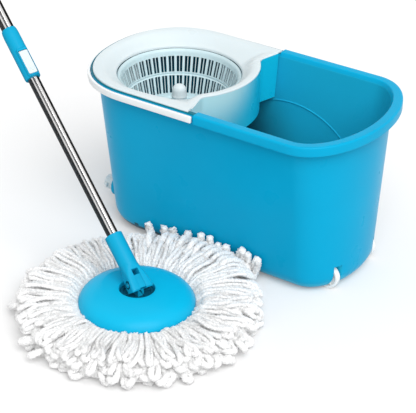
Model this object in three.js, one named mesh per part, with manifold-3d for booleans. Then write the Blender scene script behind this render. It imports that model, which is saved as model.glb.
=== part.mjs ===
// A spin mop: an oval bucket with a spin-dry basket, and a mop with a push-to-spin handle.
// Units are millimetres, +Z is up. The origin is the centre of the bucket's flat underside.
// The bucket's rounder, shorter end is at +X; the spin basket sits over the -X end.
import * as THREE from 'three';
import { mergeVertices } from 'three/addons/utils/BufferGeometryUtils.js';
import Module from 'manifold-3d';

const wasm = await Module();
wasm.setup();

// ---- Driving dimensions ---------------------------------------------------------------
const FIT = 0.3; // running gap between two separate pieces

const BUCKET = {
  length: 464,
  width: 264,
  height: 250,
  wall: 2.5,
  floor: 3,
  lip: 14, // height of the turned-down rim
  wallInset: 15, // rim edge to the wall under it
  innerEdge: 14, // rim edge to the rim's inner edge
  endLeft: 116,
  endRight: 79, // lengths of the two rounded ends
  powerLeft: 2.23,
  powerRight: 2.02, // super-ellipse exponents of the ends
  taperSide: 27,
  taperLeft: 24,
  taperRight: 7, // how far each wall leans in, rim to floor
  bottomRadius: 25,
  innerBottomRadius: 17.5,
  arcSteps: 12,
};
const BAIL = { thick: 4, tall: 10, low: 236.2, frontEnd: 1.5, rearEnd: -9.2, pivotX: -16, studRadius: 2.6 };
// The rim is stepped in for the bail and down for the tray, up to these places on its front and rear.
const NOTCH = { front: [3.6, 5.6], rear: [-7.4, -6.4], inset: 4.6, drop: 2.4 };
const BASKET = { x: -107, topRadius: 89.6, top: 232, floorZ: 160, slots: 16, crossAzimuth: 78 };
const TRAY = {
  inset: 7.3,
  sheet: 2.2,
  top: 250.4,
  openingRadius: 91.5,
  openingZ: 235.8,
  bulgeRadius: 118,
  bulgeAngle: 38,
  wallX: -8,
  skirtBottom: 180,
};
const WHEEL = { x: 185, y: 52, radius: 18, width: 9, axleRadius: 2.5 };
const DRAIN = { x: -200, y: -28, z: 32, bore: 8 };
const ARCH = { x: 20, z: 42, radius: 137, bead: 1.2 }; // moulded arch on both long walls
const MOP = { x: 14.6, y: -275.6, discRadius: 80, discEdge: 31.5, holeRadius: 24.5, holeZ: 51 };
const PIVOT = { z: 60, azimuth: 70, lean: 51.6 }; // swivel pin height and direction; handle lean
const TONGUE = { width: 9.4, radius: 9.6, camTop: 8, camFoot: -11.5 }; // the knuckle, which fills the fork
const SOCKET = { radius: 12.6, bottom: 17.5, top: 73, floor: 34, slotTop: 16.5 };
const LOWER_TUBE = { radius: 8.1, bore: 7.4, from: SOCKET.floor + FIT, to: 655 };
const UPPER_TUBE = { radius: 9.2, bore: 8.5, from: 352, to: 985 };
const SLEEVE = { radius: 11.6, from: 327, to: 409, leverAzimuth: -8 };
const LEVER = { from: 330.3, to: 367.2, inner: 10.2, outer: 13.2, width: 13, pinX: 11.7, pinZ: 365.7 };
const SCREW_ROD = { width: 6, thick: 1.8, pitch: 130, from: 430, to: 966, stepsPerTurn: 24 };
const GRIP = { radius: 12.5, from: 868, to: 991 };

// ---- Finishes -------------------------------------------------------------------------
function finish(color, roughness, metalness = 0) {
  return new THREE.MeshStandardMaterial({ color, roughness, metalness });
}
const bucketBlue = () => finish(0x1a9fd0, 0.3);
const headBlue = () => finish(0x18b4ea, 0.35);
const whitePlastic = () => finish(0xf2f4f5, 0.35);
const greyPlastic = () => finish(0x9aa0a4, 0.5);
const steel = () => finish(0xc8c8c8, 0.2, 1);
const rubber = () => finish(0x2a2c2e, 0.8);
const microfibre = () => finish(0xf4f4f2, 0.95);

// ---- Solids from three.js geometry ----------------------------------------------------
function triangles(geometry) {
  const bare = new THREE.BufferGeometry();
  bare.setAttribute('position', geometry.attributes.position.clone());
  if (geometry.index) bare.setIndex(geometry.index.clone());
  const merged = mergeVertices(bare, 1e-4);
  const index = merged.index.array;
  const kept = [];
  for (let i = 0; i < index.length; i += 3) {
    const [a, b, c] = [index[i], index[i + 1], index[i + 2]];
    if (a !== b && b !== c && c !== a) kept.push(a, b, c);
  }
  return { points: merged.attributes.position.array, kept };
}

function solid(geometry) {
  const { points, kept } = triangles(geometry);
  const shape = (order) => {
    const triVerts = Uint32Array.from(order);
    const vertProperties = Float32Array.from(points);
    return new wasm.Manifold(new wasm.Mesh({ numProp: 3, vertProperties, triVerts }));
  };
  const made = shape(kept);
  if (made.volume() > 0) return made;
  return shape(kept.reverse());
}

function join(first, ...others) {
  return others.reduce((whole, other) => whole.add(other), first);
}

function cut(first, ...others) {
  return others.reduce((whole, other) => whole.subtract(other), first);
}

function place(name, body, material, parent) {
  const made = body.getMesh();
  const geometry = new THREE.BufferGeometry();
  geometry.setAttribute('position', new THREE.Float32BufferAttribute(made.vertProperties, 3));
  geometry.setIndex(new THREE.BufferAttribute(made.triVerts, 1));
  geometry.computeVertexNormals();
  const mesh = new THREE.Mesh(geometry, material);
  mesh.name = name;
  parent.add(mesh);
  return mesh;
}

// A turned solid about Z. The profile is [radius, z] pairs that start and end on the axis.
function turned(profile, segments = 24) {
  const points = profile.map(([r, z]) => new THREE.Vector2(r, z));
  return solid(new THREE.LatheGeometry(points, segments).rotateX(Math.PI / 2));
}

// A turned ring about Z. The profile is [radius, z] pairs round a section clear of the axis.
function ring(profile, segments = 24) {
  return turned([...profile, profile[0]], segments);
}

function cylinder(radius, from, to, segments = 24) {
  return turned([[0, from], [radius, from], [radius, to], [0, to]], segments);
}

function pipe(outer, inner, from, to, segments = 24) {
  return ring([[inner, from], [outer, from], [outer, to], [inner, to]], segments);
}

function block(x, y, z) {
  const size = [x[1] - x[0], y[1] - y[0], z[1] - z[0]];
  const centre = [(x[0] + x[1]) / 2, (y[0] + y[1]) / 2, (z[0] + z[1]) / 2];
  return solid(new THREE.BoxGeometry(...size).translate(...centre));
}

// A plan outline of [x, y] points raised from one height to another.
function raised(outline, from, to) {
  const shape = new THREE.Shape(outline.map(([x, y]) => new THREE.Vector2(x, y)));
  const geometry = new THREE.ExtrudeGeometry(shape, { depth: to - from, bevelEnabled: false });
  return solid(geometry.translate(0, 0, from));
}

const turnX = (body, degrees) => body.rotate([degrees, 0, 0]);
const turnY = (body, degrees) => body.rotate([0, degrees, 0]);
const turnZ = (body, degrees) => body.rotate([0, 0, degrees]);
const alongY = (body) => turnX(body, -90); // a solid made about Z now lies about Y
const alongX = (body) => turnY(body, 90);

// A lathe grid of rings (count) by levels, laid out again by pointAt(ring, level).
function lofted(count, levels, pointAt) {
  const profile = levels.map((level, j) => new THREE.Vector2(1, j));
  const geometry = new THREE.LatheGeometry(profile, count);
  const position = geometry.attributes.position;
  for (let i = 0; i <= count; i += 1) {
    levels.forEach((level, j) => position.setXYZ(i * levels.length + j, ...pointAt(i % count, level)));
  }
  return solid(geometry);
}

// ---- The bucket's plan ----------------------------------------------------------------
const RIGHT_X = BUCKET.length / 2 - BUCKET.endRight;
const LEFT_X = -(BUCKET.length / 2 - BUCKET.endLeft);
const WALL_TOP = BUCKET.height - BUCKET.lip;

// One entry for each corner of the plan, anticlockwise from the right end's front tangent.
function planCorners() {
  const corners = [];
  const end = (side, power, steps) => {
    for (let i = 0; i <= steps; i += 1) {
      const angle = Math.PI * (i / steps - 0.5);
      const c = Math.abs(Math.cos(angle)) ** (2 / power);
      const s = Math.sign(Math.sin(angle)) * Math.abs(Math.sin(angle)) ** (2 / power);
      corners.push({ side, c: i % steps === 0 ? 0 : c, s: s * side });
    }
  };
  end(1, BUCKET.powerRight, BUCKET.arcSteps);
  corners.push({ side: 0, x: NOTCH.rear[1], s: 1 }, { side: 0, x: NOTCH.rear[0], s: 1, stepped: true });
  end(-1, BUCKET.powerLeft, BUCKET.arcSteps);
  corners.push({ side: 0, x: NOTCH.front[0], s: -1, stepped: true }, { side: 0, x: NOTCH.front[1], s: -1 });
  return corners;
}
const CORNERS = planCorners();

// inset: in from the rim's edge. lean: 0 at the rim, 1 at the floor, how far the walls lean in.
function planPoint(corner, inset, lean = 0) {
  const y = corner.s * (BUCKET.width / 2 - inset - BUCKET.taperSide * lean);
  if (corner.side > 0) {
    return [RIGHT_X + corner.c * (BUCKET.endRight - inset - BUCKET.taperRight * lean), y];
  }
  if (corner.side < 0) {
    return [LEFT_X - corner.c * (BUCKET.endLeft - inset - BUCKET.taperLeft * lean), y];
  }
  return [corner.x, y];
}

const leanAt = (z) => Math.max(0, 1 - z / WALL_TOP);

// Levels follow the plan. Over the bail's half, step moves a level in and drop moves it down, which
// leaves a low ridge outside the ledge that the tray rests on.
function planLoft(levels) {
  return lofted(CORNERS.length, levels, (i, level) => {
    if (level.axis) return [0, 0, level.z];
    const corner = CORNERS[i];
    const notched = corner.stepped || corner.side < 0;
    const step = notched && level.step ? NOTCH.inset : 0;
    const drop = notched && level.drop ? NOTCH.drop : 0;
    return [...planPoint(corner, level.inset + step, leanAt(level.z)), level.z - drop];
  });
}

function wallLevels(inset, bottom, radius) {
  const levels = [{ axis: true, z: bottom }];
  for (let i = 0; i <= 4; i += 1) {
    const angle = (Math.PI / 2) * (i / 4);
    const drawnIn = inset + radius * (1 - Math.sin(angle));
    levels.push({ inset: drawnIn, z: bottom + radius * (1 - Math.cos(angle)) });
  }
  return levels;
}

function bucketOutside() {
  const { wallInset, innerEdge, height, wall, bottomRadius } = BUCKET;
  const underRim = height - wall;
  return planLoft([
    ...wallLevels(wallInset, 0, bottomRadius),
    { inset: wallInset, z: WALL_TOP },
    { inset: wallInset, z: underRim, drop: true },
    { inset: wall, z: underRim, step: true, drop: true },
    { inset: wall, z: WALL_TOP, step: true },
    { inset: 0, z: WALL_TOP, step: true },
    { inset: 0, z: height - 1.6, step: true },
    { inset: 0.7, z: height - 0.5, step: true },
    { inset: 2, z: height - 0.2, step: true },
    { inset: 2.3, z: height, step: true, drop: true },
    { inset: innerEdge, z: height, drop: true },
    { axis: true, z: height - NOTCH.drop },
  ]);
}

function bucketInside(grow = 0) {
  const { wallInset, innerEdge, height, wall, innerBottomRadius, floor } = BUCKET;
  const inner = wallInset + wall + grow;
  return planLoft([
    ...wallLevels(inner, floor, innerBottomRadius),
    { inset: inner, z: height - 6 },
    { inset: inner - 0.8, z: height - 2.6, drop: true },
    { inset: innerEdge + grow, z: height, drop: true },
    { inset: innerEdge + grow, z: height + 20 },
    { axis: true, z: height + 20 },
  ]);
}

// ---- Bucket pieces --------------------------------------------------------------------
const wheelCentres = [['front', -WHEEL.y], ['rear', WHEEL.y]];

// The pocket that a wheel stands in: round over the wheel and open down and outwards.
function wheelPocket(y, grow) {
  const half = WHEEL.width / 2 + 2.2 + grow;
  const radius = WHEEL.radius + 3 + grow;
  const round = alongY(cylinder(radius, y - half, y + half, 24)).translate([WHEEL.x, 0, WHEEL.radius]);
  const out = block([WHEEL.x, WHEEL.x + 40], [y - half, y + half], [-1, WHEEL.radius + radius]);
  const down = block([WHEEL.x - radius, WHEEL.x], [y - half, y + half], [-1, WHEEL.radius]);
  return join(round, out, down);
}

function wheelAxle(y, radius, half) {
  return alongY(cylinder(radius, y - half, y + half, 16)).translate([WHEEL.x, 0, WHEEL.radius]);
}

// A low bead that arches over each long wall, kept to the wall by a thin offset of the cavity.
function archBeads() {
  const { x, z, radius, bead } = ARCH;
  const hoop = alongY(pipe(radius + bead, radius - bead, -200, 200, 40)).translate([x, 0, z]);
  const band = block([LEFT_X, RIGHT_X - 20], [-200, 200], [z, 200]);
  return hoop.intersect(band).intersect(cut(bucketInside(-0.4), bucketInside(bead)));
}

function bucketShell() {
  const axleHalf = WHEEL.width / 2 + 4.2;
  const pockets = wheelCentres.map(([, y]) => wheelPocket(y, 0));
  const pocketWalls = wheelCentres.map(([, y]) => wheelPocket(y, 3.5));
  const axleHoles = wheelCentres.map(([, y]) => wheelAxle(y, WHEEL.axleRadius + FIT, axleHalf));
  const boss = alongX(cylinder(17, DRAIN.x - 1, DRAIN.x + 14)).translate([0, DRAIN.y, DRAIN.z]);
  const bore = alongX(cylinder(DRAIN.bore + FIT, DRAIN.x - 10, DRAIN.x + 20))
    .translate([0, DRAIN.y, DRAIN.z]);
  const shell = cut(bucketOutside(), cut(bucketInside(), ...pocketWalls));
  const studHoles = alongY(cylinder(BAIL.studRadius + FIT, -130, 130, 16)).translate([BAIL.pivotX, 0, bailZ]);
  const rimOnly = block([-20, 20], [-130, 130], [WALL_TOP - 1, BUCKET.height]);
  const holes = cut(studHoles.intersect(rimOnly), bucketWallZone());
  return cut(join(shell, boss, archBeads()), ...pockets, ...axleHoles, bore, holes);
}

const bailZ = BAIL.low + BAIL.tall / 2;

// The zone inside the rim's turned-down skirt, which the bail's stud holes stop short of.
function bucketWallZone() {
  return block([-30, 30], [-(BUCKET.width / 2 - 9), BUCKET.width / 2 - 9], [0, 300]);
}

function bail() {
  const band = CORNERS.filter((corner) => corner.side < 0);
  const outer = band.map((corner) => planPoint(corner, 0));
  const inner = band.map((corner) => planPoint(corner, BAIL.thick)).reverse();
  const rearY = BUCKET.width / 2;
  const outline = [[BAIL.rearEnd, rearY], ...outer, [BAIL.frontEnd, -rearY]];
  outline.push([BAIL.frontEnd, -rearY + BAIL.thick], ...inner, [BAIL.rearEnd, rearY - BAIL.thick]);
  const hoop = raised(outline, BAIL.low, BAIL.low + BAIL.tall);
  const stud = (side) => {
    const from = BUCKET.width / 2 - BAIL.thick - 3.6;
    const pin = alongY(cylinder(BAIL.studRadius, from, from + 5, 16));
    return (side > 0 ? pin : turnZ(pin, 180)).translate([BAIL.pivotX, 0, bailZ]);
  };
  return join(hoop, stud(1), stud(-1));
}

function wheel() {
  const half = WHEEL.width / 2;
  const bore = WHEEL.axleRadius + FIT;
  const outline = [[bore, -half], [WHEEL.radius - 2, -half], [WHEEL.radius, -half + 2]];
  outline.push([WHEEL.radius, half - 2], [WHEEL.radius - 2, half], [bore, half]);
  return alongY(ring(outline, 24));
}

function addBucket(parent) {
  place('bucket_shell', bucketShell(), bucketBlue(), parent);
  place('bail', bail(), whitePlastic(), parent);
  for (const [side, y] of wheelCentres) {
    const axle = wheelAxle(0, WHEEL.axleRadius, WHEEL.width / 2 + 3.8).translate([0, y, 0]);
    place(`axle_${side}`, axle, steel(), parent);
    place(`wheel_${side}`, wheel(), whitePlastic(), parent).position.set(WHEEL.x, y, WHEEL.radius);
  }
}

// ---- Drain ----------------------------------------------------------------------------
// Made about Z with the outside end at +Z, then turned to point out of the bucket's end.
function addDrain(parent) {
  const drain = new THREE.Group();
  drain.position.set(DRAIN.x - 1, DRAIN.y, DRAIN.z);
  drain.rotation.y = -Math.PI / 2;
  parent.add(drain);
  const spout = ring([
    [5.5, -21], [DRAIN.bore - FIT, -21], [DRAIN.bore - FIT, 2.4], [12.5, 2.4], [12.5, 4.6],
    [7.2, 4.6], [7.2, 13], [5.5, 13],
  ], 16);
  const gasket = pipe(12.3, DRAIN.bore + FIT, FIT, 2.1, 16);
  const nut = cut(cylinder(12.5, -20, -15.3, 6), cylinder(DRAIN.bore, -30, 0, 16));
  const shell = [[0, 17], [10.2, 17], [11.2, 16], [11.2, 5.2], [8, 5.2], [8, 14], [0, 14]];
  const lug = block([-3, 3], [-16, -10.5], [9, 12]);
  const cap = cut(join(turned(shell, 16), lug), cylinder(1.3, 8, 13, 8).translate([0, -13.6, 0]));
  place('drain_spout', spout, whitePlastic(), drain);
  place('drain_gasket', gasket, rubber(), drain);
  place('drain_nut', nut, whitePlastic(), drain);
  place('drain_cap', cap, whitePlastic(), drain);
}

// ---- Spin tray ------------------------------------------------------------------------
// The tray's free edge: round the basket, then an easy reverse curve out to each long wall.
function trayEdge() {
  const turn = THREE.MathUtils.degToRad(TRAY.bulgeAngle);
  const radius = TRAY.bulgeRadius;
  const start = new THREE.Vector2(BASKET.x + radius * Math.cos(turn), radius * Math.sin(turn));
  const lead = new THREE.Vector2(-Math.sin(turn), Math.cos(turn)).multiplyScalar(8).add(start);
  const wallY = BUCKET.width / 2 - TRAY.inset;
  const nearWall = new THREE.Vector2(TRAY.wallX - 4, wallY - 22);
  const wallPoint = new THREE.Vector2(TRAY.wallX, wallY);
  const flare = new THREE.CubicBezierCurve(start, lead, nearWall, wallPoint).getPoints(5);
  const edge = [];
  for (let i = -4; i < 4; i += 1) {
    const angle = (turn * i) / 4;
    edge.push([BASKET.x + radius * Math.cos(angle), radius * Math.sin(angle)]);
  }
  const rear = flare.map((point) => [point.x, point.y]);
  const front = rear.slice(1).map(([x, y]) => [x, -y]).reverse();
  return [...front, ...edge, ...rear];
}

function trayPlan() {
  const left = CORNERS.filter((corner) => corner.side < 0);
  const outline = [...trayEdge(), ...left.map((corner) => planPoint(corner, TRAY.inset))];
  return subdivided(outline, 26);
}

// The same outline with its long straight stretches broken up evenly.
function subdivided(outline, longest) {
  return outline.flatMap(([x, y], i) => {
    const [nextX, nextY] = outline[(i + 1) % outline.length];
    const pieces = Math.ceil(Math.hypot(nextX - x, nextY - y) / longest);
    return Array.from({ length: pieces }, (_, k) => [
      x + ((nextX - x) * k) / pieces,
      y + ((nextY - y) * k) / pieces,
    ]);
  });
}

// Levels run from the edge (across 0) to the opening (across 1), over the top and back below.
function trayDish() {
  const plan = trayPlan();
  const top = [[0, -0.9], [0.03, 0], [0.33, 0], [0.5, -2.6], [0.8, -10], [1, -14.6]];
  const under = [[0.8, -10], [0.5, -2.6], [0.33, 0], [0, 0]];
  const lip = { across: 1, z: 230, out: 0 };
  const lipOut = { across: 1, z: 230, out: TRAY.sheet };
  const lipTop = { across: 1, z: TRAY.openingZ - TRAY.sheet, out: TRAY.sheet };
  const levels = top.map(([across, fall]) => ({ across, z: TRAY.top + fall, out: 0 }));
  levels.push(lip, lipOut, lipTop);
  under.forEach(([across, fall]) => levels.push({ across, z: TRAY.top + fall - TRAY.sheet, out: 0 }));
  levels.push(levels[0]);
  return lofted(plan.length, levels, (i, level) => {
    const [x, y] = [plan[i][0] - BASKET.x, plan[i][1]];
    const far = Math.hypot(x, y);
    const reach = far + (TRAY.openingRadius + level.out - far) * level.across;
    return [BASKET.x + (x / far) * reach, (y / far) * reach, level.z];
  });
}

// The skirt hangs from the free edge and follows the bucket's leaning walls with a small gap.
function traySkirt() {
  const edge = trayEdge();
  const inner = edge.map(([x, y], i) => {
    const before = edge[Math.max(0, i - 1)];
    const after = edge[Math.min(edge.length - 1, i + 1)];
    const along = new THREE.Vector2(after[0] - before[0], after[1] - before[1]).normalize();
    return [x - along.y * TRAY.sheet, y + along.x * TRAY.sheet];
  });
  const strip = raised([...edge, ...inner.reverse()], TRAY.skirtBottom, TRAY.top - 1.5);
  return strip.intersect(bucketInside(1));
}

function polar(radius, degrees) {
  const angle = THREE.MathUtils.degToRad(degrees);
  return [radius * Math.cos(angle), radius * Math.sin(angle)];
}

// A cross under the basket: four arms, four uprights and a boss for the spindle.
function carrierCross() {
  const arm = block([-97.2, 97.2], [-7, 7], [148, 152]);
  const upright = block([94.2, 97.2], [-7, 7], [148, 229.6]);
  const boss = cylinder(15, 146, 154, 16);
  const quarters = [0, 90, 180, 270].map((angle) => turnZ(upright, angle));
  const cross = join(arm, turnZ(arm, 90), boss, ...quarters);
  return turnZ(cut(cross, cylinder(4 + FIT, 149, 160, 16)), BASKET.crossAzimuth);
}

function basketWall() {
  const inside = [[87.6, BASKET.top], [86.4, 222], [79.5, 201], [78.5, 195], [71, 168], [65, BASKET.floorZ]];
  const outside = [[67, 158], [73, 167], [80.6, 194.6], [81.6, 200.6], [BASKET.topRadius, 223]];
  const hub = [[17.5, BASKET.floorZ], [13, 176], [10.6, 196.4], [7.3, 196.4], [7.3, 158]];
  const wall = ring([...inside, ...hub, ...outside, [BASKET.topRadius, BASKET.top]], 32);
  const tier = (from, to) => {
    const slot = block([66, 95], [-4, 4], [from, to]);
    return Array.from({ length: BASKET.slots }, (_, i) => turnZ(slot, (360 * (i + 0.5)) / BASKET.slots));
  };
  const floorSlot = block([26, 58], [-2.5, 2.5], [150, 165]);
  const floorSlots = Array.from({ length: 8 }, (_, i) => turnZ(floorSlot, 45 * i));
  return cut(wall, ...tier(203.5, 220.5), ...tier(170, 192.5), ...floorSlots);
}

function addSpinner(parent) {
  const centre = new THREE.Group();
  centre.position.x = BASKET.x;
  parent.add(centre);
  place('spinner_tray', join(trayDish(), traySkirt()), whitePlastic(), parent);
  place('carrier_cross', carrierCross(), whitePlastic(), centre);
  const spindle = turned([[0, 149.4], [4, 149.4], [4, 197.4], [3.3, 197.4], [3.3, 199.4], [4, 199.4],
    [4, 202], [0, 202]], 16);
  place('spindle', spindle, steel(), centre);
  place('thrust_washer', pipe(13, 4 + FIT, 154.3, 157.6, 16), greyPlastic(), centre);
  place('basket', basketWall(), whitePlastic(), centre);
  place('hub_bush', ring([[4.3, 158.4], [7, 158.4], [7, 197], [4.3, 197]], 16), greyPlastic(), centre);
  const clip = ring([[3.6, 197.8], [6.4, 197.8], [6.4, 199], [3.6, 199]], 16);
  place('spindle_clip', cut(clip, block([0, 8], [-1.2, 1.2], [197, 200])), steel(), centre);
  const dome = [[10.6, 196.8], [10.6, 204], [10.1, 208], [8.4, 211.6], [5.4, 214.2], [0, 215.2]];
  const hollow = [[0, 212.6], [4.6, 211.8], [7.6, 208], [8.4, 204], [8.4, 196.8]];
  place('hub_cap', turned([...hollow, ...dome], 16), whitePlastic(), centre);
}

// ---- Mop head -------------------------------------------------------------------------
const SCREW_ANGLES = [0, 120, 240];

// A full dome with a rolled edge. Below it are a boss for the retainer's screws and a lip over the plate.
function mopDisc() {
  const { discRadius, discEdge, holeRadius, holeZ } = MOP;
  const skin = 2.2;
  const dome = [[holeRadius, holeZ], [44, 49.6], [60, 47.2], [69, 43.9], [75.5, 38.8], [79, 33.4]];
  const profile = [...dome, [discRadius, discEdge - 1.6], [discRadius, 27], [discRadius - skin, 27]];
  profile.push([discRadius - skin, discEdge - skin], [73.8, 37.2], [67.8, 41.6], [59.2, 45]);
  profile.push([38, 47.8], [38, 40], [33, 40], [33, 46], [holeRadius + skin, 47], [holeRadius + skin, 44.2]);
  profile.push([holeRadius, 44.2]);
  return ring(profile, 36);
}

// A round plate that turns under the disc, and the knuckle that the fork straddles. The knuckle's flat cam
// face lies level with the fork's front at rest.
function swivelBase() {
  const { radius, camTop, camFoot } = TONGUE;
  const half = TONGUE.width / 2;
  const plate = cylinder(30, 40.2, 43.6, 20);
  const tongue = block([-radius, radius], [-half, half], [43, PIVOT.z]);
  const knuckle = alongY(cylinder(radius, -half, half, 20)).translate([0, 0, PIVOT.z]);
  const flat = block([0, radius], [-half, half], [camFoot, camTop]);
  const cam = turnY(flat, -PIVOT.lean).translate([0, 0, PIVOT.z]);
  const bore = alongY(cylinder(3.15, -10, 10, 16)).translate([0, 0, PIVOT.z]);
  return turnZ(cut(join(plate, tongue, knuckle, cam), bore), PIVOT.azimuth - 90);
}

function screw(radius, headRadius, from, to, head) {
  const under = head > to ? to : from;
  const low = Math.min(head, under);
  const high = Math.max(head, under);
  return join(cylinder(radius, from, to, 8), cylinder(headRadius, low, high, 8));
}

function retainer() {
  const plate = pipe(38, 20, 36.2, 39.7, 20);
  const holes = SCREW_ANGLES.map((angle) => cylinder(2, 30, 50, 8).translate([...polar(35.5, angle), 0]));
  return cut(plate, ...holes);
}

function addHead(parent) {
  const head = new THREE.Group();
  head.position.set(MOP.x, MOP.y, 0);
  parent.add(head);
  const pilot = cylinder(1.7, 39, 45.4, 8);
  const pilots = SCREW_ANGLES.map((angle) => pilot.translate([...polar(35.5, angle), 0]));
  place('mop_disc', cut(mopDisc(), ...pilots), headBlue(), head);
  place('swivel_base', swivelBase(), headBlue(), head);
  place('retainer_plate', retainer(), greyPlastic(), head);
  SCREW_ANGLES.forEach((angle, i) => {
    const driven = screw(1.4, 3, 35.9, 45, 33.8).translate([...polar(35.5, angle), 0]);
    place(`retainer_screw_${i + 1}`, driven, steel(), head);
  });
  const seat = [[56, 21.2], [76, 21.2], [76, 29], [73.6, 29], [73.6, 24], [56, 24]];
  place('refill_ring', ring(seat, 36), whitePlastic(), head);
  const pile = [[30, 0], [166, 0], [170, 10], [165, 26], [148, 39], [104, 42], [86, 36], [81.6, 24],
    [77, 20.6], [30, 18]];
  place('refill_strands', ring(pile, 32), microfibre(), head);
}

// ---- Handle ---------------------------------------------------------------------------
// Local frame: the origin is the swivel pin, Z runs up the handle, Y lies along the pin.
function forkSocket() {
  const front = [[-15, -16], [15, -16], [16.6, -11], [SOCKET.radius, 21], [-SOCKET.radius, 21], [-16.6, -11]];
  const side = [[-10, -9.4], [7.6, -13.8], [10, -12], [10, 21], [-10, 21]];
  const cheeks = turnZ(turnX(raised(front, -12, 12), 90), 90);
  const fork = cheeks.intersect(turnX(raised(side, -20, 20), 90));
  const barrel = cylinder(SOCKET.radius, SOCKET.bottom, SOCKET.top);
  const slotHalf = TONGUE.width / 2 + FIT;
  const slot = block([-20, 20], [-slotHalf, slotHalf], [-20, SOCKET.slotTop]);
  const recess = [-1, 1].map((side) => alongY(cylinder(6.2, side * 15 - 2.2, side * 15 + 3, 16)));
  const bore = cylinder(LOWER_TUBE.radius + FIT, SOCKET.floor, SOCKET.top + 1);
  const pinHole = alongY(cylinder(3.15, -20, 20, 16));
  return cut(join(fork, barrel), slot, ...recess, bore, pinHole, socketScrewHole(2.1));
}

function socketScrewHole(radius) {
  return alongX(cylinder(radius, -30, -5, 8)).translate([0, 0, 58]);
}

function addGroup(parent, degrees) {
  const group = new THREE.Group();
  group.rotation.z = THREE.MathUtils.degToRad(degrees);
  parent.add(group);
  return group;
}

function twistedBar(grow) {
  const { width, thick, pitch, from, to, stepsPerTurn } = SCREW_ROD;
  const length = to - from;
  const steps = Math.round((length / pitch) * stepsPerTurn);
  const bar = new THREE.BoxGeometry(width + grow, thick + grow, length, 1, 1, steps);
  const position = bar.attributes.position;
  for (let i = 0; i < position.count; i += 1) {
    const z = position.getZ(i) + length / 2;
    const angle = (2 * Math.PI * z) / pitch;
    const [x, y] = [position.getX(i), position.getY(i)];
    const [cos, sin] = [Math.cos(angle), Math.sin(angle)];
    position.setXYZ(i, x * cos - y * sin, x * sin + y * cos, z + from);
  }
  return solid(bar);
}

function addDrive(parent) {
  const top = LOWER_TUBE.to;
  const bush = ring([[5.9, top - 22], [LOWER_TUBE.bore - FIT, top - 22], [LOWER_TUBE.bore - FIT, top + 0.4],
    [8.1, top + 0.4], [8.1, top + 4], [6.6, top + 4], [6.6, top - 14], [5.9, top - 14]], 20);
  place('bearing_bush', bush, greyPlastic(), parent);
  const nut = cut(cylinder(6.2, top - 13.6, top - 1.6, 20), twistedBar(1.8));
  place('drive_nut', nut, whitePlastic(), parent);
  place('bush_cap', pipe(6.2, 4.4, top - 1.2, top + 3.4, 20), greyPlastic(), parent);
  place('twisted_rod', twistedBar(0), steel(), parent);
  const anchor = cut(cylinder(UPPER_TUBE.bore - FIT, 950, 972, 16), twistedBar(0.7), anchorPin(1.8, 20));
  place('rod_anchor', anchor, greyPlastic(), parent);
}

function anchorPin(radius, half) {
  return alongX(cylinder(radius, -half, half, 8)).translate([0, 0, 969.5]);
}

function lockSleeve() {
  const { radius, from, to } = SLEEVE;
  const body = turned([[0, from], [radius - 1.6, from], [radius, from + 1.6], [radius, to - 5],
    [radius - 1.8, to], [0, to]]);
  const housing = block([0, 13.3], [-8.2, 8.2], [from + 1.6, LEVER.to + 5]);
  const pocketHalf = LEVER.width / 2 + FIT;
  const pocket = block([9.85, 20], [-pocketHalf, pocketHalf], [LEVER.from - 0.5, LEVER.to + 0.6]);
  const pinHole = alongY(cylinder(1.3, -9, 9, 12)).translate([LEVER.pinX, 0, LEVER.pinZ]);
  const bore = turned([[0, from - 1], [LOWER_TUBE.radius + FIT, from - 1], [LOWER_TUBE.radius + FIT, 335],
    [10.4, 335], [10.4, 351], [9.5, 351], [9.5, to + 1], [0, to + 1]]);
  return cut(join(body, housing), bore, pocket, pinHole);
}

function lockLever() {
  const half = LEVER.width / 2;
  const plate = block([LEVER.inner, LEVER.outer], [-half, half], [LEVER.from, LEVER.pinZ]);
  const eye = alongY(cylinder(LEVER.to - LEVER.pinZ, -half, half, 16)).translate([LEVER.pinX, 0, LEVER.pinZ]);
  const pinHole = alongY(cylinder(1.3, -9, 9, 12)).translate([LEVER.pinX, 0, LEVER.pinZ]);
  return cut(join(plate, eye), pinHole);
}

function addLock(parent) {
  place('lock_sleeve', lockSleeve(), headBlue(), parent);
  place('lock_lever', lockLever(), whitePlastic(), parent);
  const pin = alongY(cylinder(1, -7.4, 7.4, 12)).translate([LEVER.pinX, 0, LEVER.pinZ]);
  place('lever_pin', pin, steel(), parent);
  const collet = cut(pipe(9.3, LOWER_TUBE.radius + 0.1, 335.4, 350.6), block([0, 12], [-1, 1], [335, 351]));
  place('clamp_collet', turnZ(collet, 180), greyPlastic(), parent);
}

function topGrip() {
  const ribs = [];
  for (let z = GRIP.from + 20; z < GRIP.to - 12; z += 30) {
    ribs.push([GRIP.radius, z], [GRIP.radius - 1, z + 2], [GRIP.radius, z + 4]);
  }
  const bore = UPPER_TUBE.radius + FIT;
  return ring([[bore, GRIP.from], [GRIP.radius - 1.5, GRIP.from], [GRIP.radius, GRIP.from + 4], ...ribs,
    [GRIP.radius, GRIP.to], [bore, GRIP.to]], 16);
}

function endCap() {
  const plug = cylinder(UPPER_TUBE.bore - FIT, 975, GRIP.to + 1, 16);
  const dome = turned([[0, GRIP.to + FIT], [GRIP.radius, GRIP.to + FIT], [GRIP.radius, 996], [10, 1001],
    [0, 1003]], 16);
  const round = alongX(cylinder(10, -3, 3, 20)).translate([0, 0, 1018]);
  const loop = join(block([-3, 3], [-10, 10], [996, 1018]), round);
  return cut(join(plug, dome, loop), alongX(cylinder(5, -10, 10, 16)).translate([0, 0, 1017]));
}

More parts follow.
